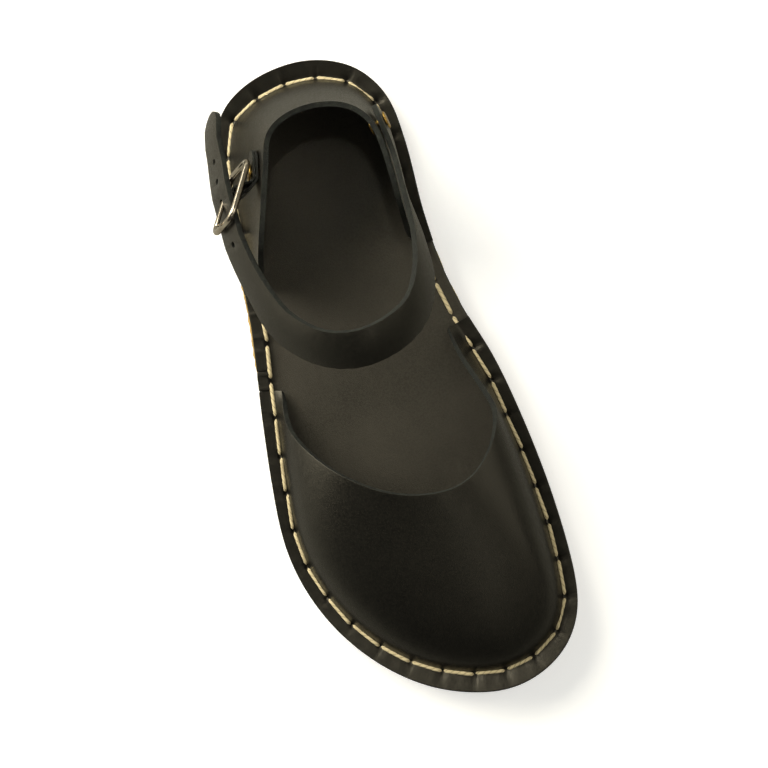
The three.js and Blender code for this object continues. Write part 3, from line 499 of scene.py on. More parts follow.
@dataclass(frozen=True)
class Metal(Finish):
    """Cast or turned metal with a light patina and fine scratches."""

    name: str
    bright: Colour
    tarnish: Colour
    rough_low: float = 0.18
    rough_high: float = 0.42
    scratch_depth: float = 0.006 * MM
    patches: float = 300.0
    patch_band: Pair = (0.3, 0.75)
    scratches: float = 2600.0
    scratch_stretch: Triple = (1.0, 6.0, 1.0)

    def build(self) -> Material:
        """Builds the metal.

        Returns:
            The material.
        """
        board, shader, place = self.begin()
        patina = board.spread(board.noise(place, self.patches, 3.0), *self.patch_band)
        along = board.stretched(place, self.scratch_stretch)
        scratches = board.noise(along, self.scratches, 2.0)
        looks = {
            "Base Color": board.blend(patina, self.bright, self.tarnish),
            "Roughness": board.spread(patina, 0.0, 1.0, self.rough_low, self.rough_high),
            "Metallic": 1.0,
        }
        board.feed(shader, looks)
        self.emboss(board, shader, scratches, self.scratch_depth)
        return bpy.data.materials[self.name]


@dataclass(frozen=True)
class WaxedThread(Finish):
    """Twisted waxed thread with stains, and shade painted into the grooves between its plies."""

    name: str
    pale: Colour
    grime_and_groove_shade: Colour
    fibre_depth: float = 0.12 * MM
    fibres: float = 2400.0
    fibre_stretch: Triple = (1.0, 0.7, 1.0)
    stains: float = 160.0
    stain_band: Pair = (0.5, 0.8)
    stain_strength: float = 0.5
    groove_reach: float = 0.55
    groove_shade_strength: float = 0.75

    def build(self) -> Material:
        """Builds the thread.

        Returns:
            The material.
        """
        board, shader, place = self.begin()
        fibres = board.noise(board.stretched(place, self.fibre_stretch), self.fibres, 3.0)
        ply = board.add("ShaderNodeAttribute", attribute_name=PLY)
        stains = board.noise(place, self.stains, 3.0)
        worn = board.spread(stains, *self.stain_band, 0.0, self.stain_strength)
        # Painted shade: the grooves between the plies are blended towards the stain colour.
        groove = board.spread(ply.outputs["Fac"], 0.0, self.groove_reach, self.groove_shade_strength, 0.0)
        # Real stains and the painted groove shade share one colour.
        stains_and_groove_shade = board.maths("MAXIMUM", worn, groove)
        looks = {
            "Base Color": board.blend(stains_and_groove_shade, self.pale, self.grime_and_groove_shade),
            "Roughness": board.spread(fibres, 0.3, 0.7, 0.55, 0.8),
            "Sheen Weight": 0.15,
        }
        board.feed(shader, looks)
        self.emboss(board, shader, fibres, self.fibre_depth)
        return bpy.data.materials[self.name]


@dataclass(frozen=True)
class StudioPaper(Finish):
    """The plain pale floor. It glows for the camera alone, and looks darker in reflections."""

    name: str = "studio_paper"
    clouded: Colour = (0.8865, 0.8865, 0.8775, 1.0)
    clear: Colour = (0.9, 0.9, 0.8928, 1.0)
    mirrored: Colour = (0.4, 0.4, 0.368, 1.0)
    glow: float = 0.46
    glow_colour: Colour = (0.93, 0.96, 1.0, 1.0)
    clouds: float = 3.0

    def build(self) -> Material:
        """Builds the paper.

        Returns:
            The material.
        """
        board, shader, place = self.begin()
        clouds = board.noise(place, self.clouds, 2.0)
        seen = board.add("ShaderNodeLightPath").outputs["Is Camera Ray"]
        paper = board.blend(clouds, self.clouded, self.clear)
        looks = {
            "Base Color": board.blend(seen, self.mirrored, paper),
            "Roughness": 0.95,
            "Specular IOR Level": 0.1,
            "Emission Strength": board.times(seen, self.glow),
            "Emission Color": self.glow_colour,
        }
        board.feed(shader, looks)
        return bpy.data.materials[self.name]


UPPER_LEATHER = GrainLeather(
    "black_upper_leather",
    from_srgb(9, 9, 9),
    from_srgb(15, 15, 14),
    from_srgb(36, 35, 32),
    pull_depth=0.5 * MM,
)
STRAP_LEATHER = GrainLeather(
    "black_strap_leather",
    from_srgb(12, 12, 12),
    from_srgb(20, 20, 18),
    from_srgb(43, 42, 38),
    grain_depth=0.04 * MM,
)
INSOLE_LEATHER = GrainLeather(
    "smooth_insole_leather",
    from_srgb(39, 38, 35),
    from_srgb(52, 50, 46),
    from_srgb(70, 68, 62),
    cells=1500.0,
    grain_depth=0.06 * MM,
    pull_depth=0.5 * MM,
    rough_low=0.4,
    rough_high=0.6,
    coat=0.06,
    speckle=0.26,
)
SOLE_LEATHER = GrainLeather(
    "tan_sole_leather",
    from_srgb(176, 142, 80),
    from_srgb(198, 168, 104),
    from_srgb(150, 116, 62),
    cells=900.0,
    rough_low=0.5,
    rough_high=0.68,
    coat=0.05,
)
BLACK_EDGE = RawEdge("black_cut_edge", from_srgb(12, 14, 13), from_srgb(38, 41, 37))
TAN_EDGE = RawEdge("tan_cut_edge", from_srgb(118, 84, 38), from_srgb(196, 156, 84), 0.35 * MM)
FIBRE = RawEdge("leather_fibre", from_srgb(44, 42, 34), from_srgb(86, 80, 62), 0.02 * MM)
NICKEL = Metal("antique_nickel", from_srgb(186, 178, 164), from_srgb(138, 129, 116), 0.16, 0.28)
BRASS = Metal("rivet_brass", from_srgb(190, 158, 86), from_srgb(128, 100, 48))
THREAD = WaxedThread("waxed_thread", from_srgb(214, 200, 160), from_srgb(120, 104, 70))


# Modelling


def pick(thing: Object) -> None:
    """Selects one object alone and makes it active.

    Args:
        thing: The object.
    """
    bpy.ops.object.select_all(action="DESELECT")
    thing.select_set(True)
    bpy.context.view_layer.objects.active = thing


def apply_modifier(thing: Object, kind: str, **settings: object) -> None:
    """Adds a modifier to an object and applies it.

    Args:
        thing: The object.
        kind: Blender's name of the modifier.
        settings: Its properties and their values.
    """
    pick(thing)
    modifier = thing.modifiers.new(kind.lower(), kind)
    for name, value in settings.items():
        setattr(modifier, name, value)
    bpy.ops.object.modifier_apply(modifier=modifier.name)


def round_edges(thing: Object, width: float, degrees: float = 50.0) -> None:
    """Rounds the edges of an object from an angle on.

    Args:
        thing: The object.
        width: Width of the rounding.
        degrees: Angle between faces from which an edge is rounded.
    """
    limit = math.radians(degrees)
    apply_modifier(thing, "BEVEL", width=width, segments=2, limit_method="ANGLE", angle_limit=limit)


def subdivide(thing: Object, levels: int, kind: str = "CATMULL_CLARK") -> None:
    """Subdivides an object, rounding it or with the kind SIMPLE keeping its shape."""
    apply_modifier(thing, "SUBSURF", levels=levels, render_levels=levels, subdivision_type=kind)


def joined(things: list[Object], name: str) -> Object:
    """Joins objects into the first of them.

    Args:
        things: The objects.
        name: Name of the result.

    Returns:
        The joined object.
    """
    pick(things[0])
    for thing in things:
        thing.select_set(True)
    bpy.ops.object.join()
    things[0].name = name
    return things[0]


def smooth(thing: Object, degrees: float = 60.0) -> None:
    """Shades an object smooth up to an angle."""
    pick(thing)
    bpy.ops.object.shade_smooth_by_angle(angle=math.radians(degrees))


def positions(thing: Object) -> np.ndarray:
    """The places of a mesh's vertices.

    Args:
        thing: The object with the mesh.

    Returns:
        Rows of places.
    """
    rows = np.zeros(len(thing.data.vertices) * 3)
    thing.data.vertices.foreach_get("co", rows)
    return rows.reshape(-1, 3)


def move_to(thing: Object, rows: np.ndarray) -> None:
    """Sets the places of a mesh's vertices."""
    thing.data.vertices.foreach_set("co", rows.ravel())
    thing.data.update()


def normals(thing: Object) -> np.ndarray:
    """The normals of a mesh's vertices as rows."""
    return np.array([vertex.normal for vertex in thing.data.vertices])


def uprightness(facing: np.ndarray) -> np.ndarray:
    """How far each normal lies level, from 0 on a floor or ceiling to 1 on a wall."""
    return np.clip(1 - np.abs(facing[:, 2]) * 1.6, 0, 1)


def hand_cut(places: np.ndarray, *waves: Triple) -> np.ndarray:
    """An uneven row of values round the shoe, from 0 to 1.

    Args:
        places: Rows of places.
        waves: Count round the shoe, start and share of each wave.

    Returns:
        The value at each place.
    """
    angle = np.arctan2(places[:, 1], places[:, 0])
    return 0.5 + 0.5 * sum(np.sin(angle * count + start) * share for count, start, share in waves)


def merged_copy(node: Object, name: str) -> Object:
    """A copy of a CAD node with its corners merged and its triangles paired.

    Args:
        node: The CAD node.
        name: Name of the copy.

    Returns:
        The copy.
    """
    piece = bpy.data.objects.new(name, node.data.copy())
    piece.data.name = name
    bpy.context.scene.collection.objects.link(piece)
    piece.data.materials.clear()
    pick(piece)
    bpy.ops.mesh.customdata_custom_splitnormals_clear()
    bpy.ops.object.mode_set(mode="EDIT")
    bpy.ops.mesh.select_all(action="SELECT")
    bpy.ops.mesh.remove_doubles(threshold=0.01 * MM)
    bpy.ops.mesh.tris_convert_to_quads(face_threshold=math.radians(40), shape_threshold=math.radians(50))
    bpy.ops.mesh.faces_shade_smooth()
    bpy.ops.object.mode_set(mode="OBJECT")
    return piece


def ringed_rod(sides: int, rings: int, girth: float) -> Mesh:
    """Models a rod of length 1 along Z from a cylinder, cut into rings.

    Args:
        sides: How many sides it has.
        rings: How many rings it is cut into.
        girth: Its thickness.

    Returns:
        The mesh.
    """
    bpy.ops.object.select_all(action="DESELECT")
    bpy.ops.mesh.primitive_cylinder_add(vertices=sides, radius=girth / 2, depth=1.0, end_fill_type="TRIFAN")
    rod = bpy.context.object
    bpy.ops.object.mode_set(mode="EDIT")
    for ring in range(1, rings):
        bpy.ops.mesh.select_all(action="SELECT")
        bpy.ops.mesh.bisect(plane_co=(0, 0, ring / rings - 0.5), plane_no=(0, 0, 1))
    bpy.ops.mesh.select_all(action="SELECT")
    bpy.ops.mesh.faces_shade_smooth()
    bpy.ops.object.mode_set(mode="OBJECT")
    mesh = rod.data.copy()
    bpy.data.objects.remove(rod)
    return mesh


def split_regions(mesh: bmesh.types.BMesh, sharp: float) -> tuple[dict[int, int], list[float]]:
    """Splits a mesh into regions along its sharp edges.

    Args:
        mesh: The mesh.
        sharp: Angle between faces from which an edge is sharp, in radians.

    Returns:
        The region of each face, and the mean width of each region.
    """
    region: dict[int, int] = {}
    widths: list[float] = []
    for seed in mesh.faces:
        if seed.index in region:
            continue
        region[seed.index] = len(widths)
        area = 0.0
        border = 0.0
        stack = [seed]
        while stack:
            face = stack.pop()
            area += face.calc_area()
            for edge in face.edges:
                if len(edge.link_faces) != 2 or edge.calc_face_angle() > sharp:
                    border += edge.calc_length()
                    continue
                for other in edge.link_faces:
                    if other.index not in region:
                        region[other.index] = len(widths)
                        stack.append(other)
        widths.append(2 * area / max(border, MM))
    return region, widths


def mark_cut_edges(piece: Object, widest: float = 3.4 * MM, degrees: float = 50.0) -> None:
    """Gives the narrow strips between sharp edges the second material.

    Args:
        piece: The object.
        widest: Regions narrower than this count as cut edges.
        degrees: Angle from which an edge is sharp.
    """
    mesh = bmesh.new()
    mesh.from_mesh(piece.data)
    mesh.faces.ensure_lookup_table()
    region, widths = split_regions(mesh, math.radians(degrees))
    for face in mesh.faces:
        face.material_index = EDGE_SLOT if widths[region[face.index]] < widest else FACE_SLOT
    mesh.to_mesh(piece.data)
    mesh.free()


def mark_sides(piece: Object, steep: float = 0.6) -> None:
    """Gives the faces that stand upright the second material."""
    for face in piece.data.polygons:
        face.material_index = EDGE_SLOT if abs(face.normal.z) < steep else FACE_SLOT


def dress(piece: Object, *finishes: Finish) -> None:
    """Puts finishes in an object's material slots and keeps its faces' slots.

    Args:
        piece: The object.
        finishes: Its finishes, in the order of the slots.
    """
    indices = [face.material_index for face in piece.data.polygons]
    piece.data.materials.clear()
    for finish in finishes:
        piece.data.materials.append(finish.material())
    piece.data.polygons.foreach_set("material_index", indices)


def settle(piece: Object, slot: Slot, *nodes: str) -> Object:
    """Hands a finished piece to the frame.

    Args:
        piece: The finished object.
        slot: The record's slot of its finish. It is not used.
        nodes: CAD nodes that it stands for.

    Returns:
        The piece.
    """
    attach(piece, BODY)
    if nodes:
        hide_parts(*nodes)
    LOG.info("%s: %d faces, for %s", piece.name, len(piece.data.polygons), ", ".join(nodes) or "no node")
    return piece


# The seam


@dataclass
class Margin:
    """The edge of the sole and the line of stitches inside it, read off the insole's node.

    Each is a closed row of places. phase counts stitches along the line: it is whole in
    the middle of each gap between two stitches.
    """

    insole: Object
    fineness: int = 1600
    line_at_sides: float = 5.0 * MM
    line_at_ends: float = 7.0 * MM
    pitch_at_sides: float = 15.0 * MM
    pitch_at_ends: float = 12.2 * MM
    insole_underside: float = 5.3 * MM
    crease_height: float = 13.0 * MM
    fade_height: float = 7.0 * MM
    corner_reach: float = 0.05 * MM
    steepest_floor: float = 0.3
    curve_steps: int = 30
    edge: np.ndarray = field(init=False)
    inward: np.ndarray = field(init=False)
    width: np.ndarray = field(init=False)
    phase: np.ndarray = field(init=False)
    count: int = field(init=False)
    tree: KDTree = field(init=False)

    def __post_init__(self) -> None:
        """Measures the edge and shares out the stitches."""
        self.edge = self.smooth_ring(self.side_ring())
        ahead = np.roll(self.edge, -1, axis=0) - np.roll(self.edge, 1, axis=0)
        ahead[:, 2] = 0
        ahead /= np.linalg.norm(ahead, axis=1)[:, None]
        self.inward = np.stack([-ahead[:, 1], ahead[:, 0], np.zeros(len(ahead))], axis=1)
        outwards = np.sum(self.inward * self.edge, axis=1).mean() > 0
        if outwards:
            self.inward *= -1
        ends = self.inward[:, 1] ** 2
        self.width = self.line_at_sides + (self.line_at_ends - self.line_at_sides) * ends
        pitch = self.pitch_at_sides + (self.pitch_at_ends - self.pitch_at_sides) * ends
        line = self.line()
        steps = np.linalg.norm(np.roll(line, -1, axis=0) - line, axis=1)
        counted = np.concatenate([[0.0], np.cumsum(steps / pitch)])
        self.count = round(counted[-1])
        self.phase = counted[:-1] * self.count / counted[-1]
        self.tree = KDTree(self.fineness)
        for index, place in enumerate(self.edge):
            self.tree.insert((place[0], place[1], 0.0), index)
        self.tree.balance()

    def side_ring(self) -> np.ndarray:
        """The corners of the insole's side, in order round the shoe, at its underside.

        Returns:
            Rows of places.
        """
        lowest: dict[tuple[int, int], Vector] = {}
        for face in self.insole.data.polygons:
            if abs(face.normal.z) > self.steepest_floor:
                continue
            for index in face.vertices:
                place = self.insole.data.vertices[index].co
                key = (round(place.x / self.corner_reach), round(place.y / self.corner_reach))
                if key not in lowest or place.z < lowest[key].z:
                    lowest[key] = place.copy()
        ring = np.array([tuple(place) for place in lowest.values()])
        return ring[np.argsort(np.arctan2(ring[:, 1], ring[:, 0]))]

    def smooth_ring(self, ring: np.ndarray) -> np.ndarray:
        """Evenly spaced places on a smooth closed curve through a ring.

        Args:
            ring: Rows of places.

        Returns:
            Rows of places at the sole's underside.
        """
        dense = []
        size = len(ring)
        for index in range(size):
            before, here, after, beyond = (ring[(index + step) % size] for step in (-1, 0, 1, 2))
            for part in np.linspace(0, 1, self.curve_steps, endpoint=False):
                second = (2 * before - 5 * here + 4 * after - beyond) * part**2
                third = (3 * here - before - 3 * after + beyond) * part**3
                dense.append(0.5 * (2 * here + (after - before) * part + second + third))
        dense.append(dense[0])
        curve = np.array(dense)
        run = np.concatenate([[0.0], np.cumsum(np.linalg.norm(np.diff(curve, axis=0), axis=1))])
        marks = np.linspace(0, run[-1], self.fineness, endpoint=False)
        even = np.stack([np.interp(marks, run, curve[:, axis]) for axis in range(3)], axis=1)
        even[:, 2] -= self.insole_underside
        return even

    def line(self) -> np.ndarray:
        """The line of stitches, at the height of the sole's underside."""
        return self.edge + self.inward * self.width[:, None]

    def at_phase(self, rows: np.ndarray, phase: float) -> Vector:
        """The place on a closed row at a count of stitches.

        Args:
            rows: A row of places, one for each place of the edge.
            phase: The count of stitches.

        Returns:
            The place.
        """
        share = phase % self.count
        marks = np.append(self.phase, self.count)
        closed = np.vstack([rows, rows[:1]])
        return Vector([float(np.interp(share, marks, closed[:, axis])) for axis in range(3)])

    def seam_rows(self, places: np.ndarray) -> np.ndarray:
        """Cosine and sine of the phase and the share of the margin at each place.

        On a wall over the crease the share goes on growing, so that the seam fades upwards.

        Args:
            places: Rows of places.

        Returns:
            Rows of three numbers.
        """
        rows = np.zeros((len(places), 3))
        for index, place in enumerate(places):
            near, at, _ = self.tree.find((place[0], place[1], 0.0))
            inset = (Vector((place[0], place[1], 0.0)) - near).dot(Vector(self.inward[at]))
            angle = 2 * math.pi * self.phase[at]
            climb = max(0.0, place[2] - self.edge[at][2] - self.crease_height) / self.fade_height
            rows[index] = (math.cos(angle), math.sin(angle), inset / self.width[at] + climb)
        return rows

    def mark(self, piece: Object) -> np.ndarray:
        """Stores the seam's values on a piece's vertices.

        Args:
            piece: The object.

        Returns:
            The rows that were stored.
        """
        rows = self.seam_rows(positions(piece))
        layer = piece.data.attributes.new(SEAM, "FLOAT_VECTOR", "POINT")
        layer.data.foreach_set("vector", rows.ravel())
        return rows


# Sub-assemblies


@dataclass
class SoleUnit:
    """The outsole and the insole, cut by hand and drawn together by the stitches."""

    nodes: dict[str, Object]
    margin: Margin
    dimple: float = 0.45 * MM
    wobble: float = 0.22 * MM
    proud: float = 1.5 * MM
    proud_rise: float = 4.4 * MM
    proud_from: float = -128.0 * MM
    proud_to: float = -10.0 * MM
    fade_ahead: float = 12.0 * MM
    fade_behind: float = 30.0 * MM
    fade_across: float = 15.0 * MM
    least_behind: float = 0.35
    ripples: Pair = (900.0, 2300.0)
    ripple_share: float = 0.25
    edge_share: float = 0.45
    insole_share: float = 0.5
    cut_waves: tuple[Triple, ...] = ((37, 0.0, 0.5), (83, 1.3, 0.3), (151, 0.0, 0.2))

    def outsole(self) -> Object:
        """Builds and dresses the outsole.

        Returns:
            The piece.
        """
        piece = merged_copy(self.nodes["outsole"], "outsole_leather")
        subdivide(piece, 2, "SIMPLE")
        apply_modifier(piece, "SMOOTH", factor=0.25, iterations=2)
        rows = self.margin.mark(piece)
        self.roughen(piece, rows, self.dimple)
        self.stand_out(piece)
        mark_sides(piece)
        dress(piece, SOLE_LEATHER, TAN_EDGE)
        smooth(piece)
        return settle(piece, Slot.SOLE, "outsole")

    def insole(self) -> Object:
        """Builds and dresses the insole.

        Returns:
            The piece.
        """
        piece = merged_copy(self.nodes["insole"], "insole_leather")
        mark_cut_edges(piece, degrees=35)
        subdivide(piece, 2, "SIMPLE")
        rows = self.margin.mark(piece)
        self.roughen(piece, rows, self.insole_share * self.dimple)
        dress(piece, INSOLE_LEATHER, BLACK_EDGE)
        smooth(piece)
        return settle(piece, Slot.INSOLE, "insole")

    def stand_out(self, piece: Object) -> None:
        """Lets the cut edge stand out of the flange on the outer side, unevenly.

        Args:
            piece: The object.
        """
        places = positions(piece)
        facing = normals(piece)
        side = uprightness(facing) * np.clip(places[:, 2] / self.proud_rise, 0, 1)
        ahead = np.clip((self.proud_to - places[:, 1]) / self.fade_ahead, 0, 1)
        behind = np.clip((places[:, 1] - self.proud_from) / self.fade_behind, self.least_behind, 1)
        outer = np.clip(places[:, 0] / self.fade_across, 0, 1)
        slow, fast = self.ripples
        ripple = np.sin(places[:, 1] * slow) * np.sin(places[:, 1] * fast + 1.0)
        uneven = 1 - self.ripple_share + self.ripple_share * ripple
        shift = self.proud * side * ahead * behind * outer * uneven
        places[:, :2] += facing[:, :2] * shift[:, None]
        move_to(piece, places)

    def roughen(self, piece: Object, rows: np.ndarray, dimple: float) -> None:
        """Draws the sides in at the gaps of the stitches and makes the cut uneven.

        Args:
            piece: The object.
            rows: Its seam values.
            dimple: Depth of the dimples.
        """
        places = positions(piece)
        facing = normals(piece)
        near_edge = rows[:, 2] < self.edge_share
        depth = dimple * np.clip(rows[:, 0], 0, 1) ** 3
        uneven = hand_cut(places, *self.cut_waves)
        shift = (depth + self.wobble * uneven) * uprightness(facing) * near_edge
        places[:, :2] -= facing[:, :2] * shift[:, None]
        move_to(piece, places)


@dataclass
class Upper:
    """The vamp, the heel counter and the strips of the flange on the outer side."""

    nodes: dict[str, Object]
    margin: Margin
    edge_round: float = 0.32 * MM
    pull: float = 0.45 * MM
    ray: float = 0.5 * MM
    swell: float = 0.3 * MM
    wobble: float = 0.25 * MM
    groove_width: float = 0.22
    flange_share: float = 1.25
    even_groove: float = 0.55
    ray_at_edge: float = 0.35
    swell_at: float = 0.35
    swell_width: float = 0.45
    side_share: float = 0.2
    cut_waves: tuple[Triple, ...] = ((29, 0.7, 0.5), (71, 0.0, 0.3), (133, 2.0, 0.2))

    def leather(self, node: str, flat: bool) -> Object:
        """Builds and dresses a piece of the upper.

        Args:
            node: The CAD node.
            flat: Whether it is a flat strip, and not a bent panel with its flange.

        Returns:
            The piece.
        """
        piece = merged_copy(self.nodes[node], f"{node}_leather")
        if flat:
            mark_sides(piece, 0.5)
        else:
            mark_cut_edges(piece)
        round_edges(piece, self.edge_round)
        if flat:
            subdivide(piece, 3, "SIMPLE")
        else:
            subdivide(piece, 2)
        self.draw_down(piece)
        dress(piece, UPPER_LEATHER, BLACK_EDGE)
        smooth(piece)
        return settle(piece, Slot.UPPER, node)

    def draw_down(self, piece: Object) -> None:
        """Presses the line of stitches into the flange and draws rays from the gaps to the edge.

        Args:
            piece: The object.
        """
        rows = self.margin.mark(piece)
        places = positions(piece)
        facing = normals(piece)
        at_gap, margin = rows[:, 0], rows[:, 2]
        upward = np.clip(facing[:, 2] * 1.4 - 0.2, 0, 1)
        off_line = (margin - 1.0) / self.groove_width
        pulled = np.clip(at_gap, 0, 1)
        groove = self.pull * np.exp(-(off_line**2)) * (self.even_groove + (1 - self.even_groove) * pulled)
        on_flange = margin < self.flange_share
        across = np.clip(margin, 0, 1) * on_flange
        ray = self.ray * pulled**3 * (self.ray_at_edge + (1 - self.ray_at_edge) * across) * on_flange
        beside = np.clip(1 - np.abs(at_gap - self.swell_at) / self.swell_width, 0, 1)
        swell = self.swell * beside * np.sin(np.pi * across)
        places[:, 2] += (swell - groove - ray) * upward
        side = uprightness(facing) * (margin < self.side_share)
        uneven = hand_cut(places, *self.cut_waves)
        places[:, :2] -= facing[:, :2] * (self.wobble * uneven * side)[:, None]
        move_to(piece, places)

    def build(self) -> list[Object]:
        """Builds all the pieces of the upper.

        Returns:
            The pieces.
        """
        bent = [self.leather(node, flat=False) for node in ("vamp", "heel_counter")]
        flat = [self.leather(node, flat=True) for node in ("welt_strip", "welt_patch")]
        return bent + flat


@dataclass
class AnkleStrap:
    """The strap round the ankle and the tab that holds the buckle."""

    nodes: dict[str, Object]
    edge_round: float = 0.3 * MM
    tab_round: float = 0.15 * MM

    def build(self) -> list[Object]:
        """Builds and dresses the strap and the tab.

        Returns:
            The pieces.
        """
        pieces = []
        for node, name, rounding in (
            ("ankle_strap", "ankle_strap_leather", self.edge_round),
            ("buckle_tab", "buckle_tab_leather", self.tab_round),
        ):
            piece = merged_copy(self.nodes[node], name)
            mark_cut_edges(piece)
            round_edges(piece, rounding, 55)
            dress(piece, STRAP_LEATHER, BLACK_EDGE)
            smooth(piece, 35)
            pieces.append(settle(piece, Slot.STRAP, node))
        return pieces


@dataclass
class Metalware:
    """The buckle's frame and prong and the two rivets."""

    nodes: dict[str, Object]
    rivet_round: float = 0.12 * MM
    rim: float = 2.4 * MM
    corner: float = 4.0 * MM
    bar: float = 2.0 * MM
    around: int = 160
    corner_steps: int = 12
    rod_sides: int = 20

    def measured(self, node: Object) -> tuple[np.ndarray, np.ndarray, np.ndarray]:
        """The middle of a flat node, its own directions and its half sizes along them.

        Args:
            node: The CAD node.

        Returns:
            The middle, three directions as rows, from the longest to the shortest, and the
            half sizes.
        """
        areas = np.array([face.area for face in node.data.polygons])
        middles = np.array([tuple(face.center) for face in node.data.polygons])
        centre = (middles * areas[:, None]).sum(axis=0) / areas.sum()
        away = middles - centre
        spread = (away * areas[:, None]).T @ away
        directions = np.linalg.eigh(spread)[1].T[::-1]
        along = (positions(node) - centre) @ directions.T
        centre = centre + directions.T @ ((along.max(axis=0) + along.min(axis=0)) / 2)
        return centre, directions, (along.max(axis=0) - along.min(axis=0)) / 2

    def rim_line(self, half_length: float, half_width: float) -> np.ndarray:
        """Even steps round the middle line of the frame's rod.

        Args:
            half_length: Half the length of the middle line.
            half_width: Half its width.

        Returns:
            Rows of place along, place across and the angle of the outward direction.
        """
        rows = []
        for corner, (ahead, aside) in enumerate(((1, 1), (-1, 1), (-1, -1), (1, -1))):
            middle = (ahead * (half_length - self.corner), aside * (half_width - self.corner))
            for part in np.linspace(0, 1, self.corner_steps + 1):
                heading = (corner + part) * math.pi / 2
                reach = self.corner * math.cos(heading), self.corner * math.sin(heading)
                rows.append((middle[0] + reach[0], middle[1] + reach[1], heading))
        rows.append((rows[0][0], rows[0][1], 2 * math.pi))
        line = np.array(rows)
        run = np.concatenate([[0.0], np.cumsum(np.hypot(*np.diff(line[:, :2], axis=0).T))])
        marks = np.linspace(0, run[-1], self.around, endpoint=False)
        return np.stack([np.interp(marks, run, line[:, axis]) for axis in range(3)], axis=1)

    def frame(self) -> Object:
        """Models the buckle's frame from a torus and its bar from a cylinder.

        Returns:
            The piece.
        """
        centre, directions, half = self.measured(self.nodes["buckle_frame"])
        half_length, half_width = half[0] - self.rim / 2, half[1] - self.rim / 2
        bpy.ops.object.select_all(action="DESELECT")
        bpy.ops.mesh.primitive_torus_add(
            major_segments=self.around, minor_segments=self.rod_sides, major_radius=1.0, minor_radius=0.25
        )
        rod = bpy.context.object
        rows = positions(rod)
        turns = np.arctan2(rows[:, 1], rows[:, 0])
        steps = np.rint(turns / (2 * math.pi) * self.around).astype(int) % self.around
        along, across, heading = self.rim_line(half_length, half_width)[steps].T
        tilts = np.arctan2(rows[:, 2], np.hypot(rows[:, 0], rows[:, 1]) - 1.0)
        reach = self.rim / 2 * np.cos(tilts)
        along = along + reach * np.cos(heading)
        across = across + reach * np.sin(heading)
        own = np.stack([along, across, self.rim / 2 * np.sin(tilts)], axis=1)
        move_to(rod, centre + own @ directions)
        bpy.ops.object.select_all(action="DESELECT")
        bpy.ops.mesh.primitive_cylinder_add(
            vertices=self.rod_sides, radius=self.bar / 2, depth=2 * half_width
        )
        bar = bpy.context.object
        bar.data.transform(Matrix.Rotation(math.pi / 2, 4, "X"))
        move_to(bar, centre + positions(bar) @ directions)
        piece = joined([rod, bar], "buckle_frame_metal")
        bpy.ops.object.mode_set(mode="EDIT")
        bpy.ops.mesh.select_all(action="SELECT")
        bpy.ops.mesh.normals_make_consistent(inside=False)
        bpy.ops.object.mode_set(mode="OBJECT")
        smooth(piece)
        return piece

    def refined(self, node: str, name: str, rounding: float) -> Object:
        """A rounded, finer copy of a metal node.

        Args:
            node: The CAD node.
            name: Name of the piece.
            rounding: Radius on its edges, or 0 for none.

        Returns:
            The piece.
        """
        piece = merged_copy(self.nodes[node], name)
        if rounding:
            round_edges(piece, rounding, 40)
        subdivide(piece, 2)
        smooth(piece)
        return piece

    def build(self) -> list[Object]:
        """Builds and dresses the metal parts.

        Returns:
            The pieces.
        """
        frame = self.frame()
        dress(frame, NICKEL)
        pieces = [settle(frame, Slot.NICKEL, "buckle_frame")]
        for node, name, rounding, slot, finish in (
            ("buckle_prong", "buckle_prong_metal", 0.0, Slot.NICKEL, NICKEL),
            ("rivet_inner_side", "rivet_inner_metal", self.rivet_round, Slot.BRASS, BRASS),
            ("rivet_outer_side", "rivet_outer_metal", self.rivet_round, Slot.BRASS, BRASS),
        ):
            piece = self.refined(node, name, rounding)
            dress(piece, finish)
            pieces.append(settle(piece, slot, node))
        return pieces


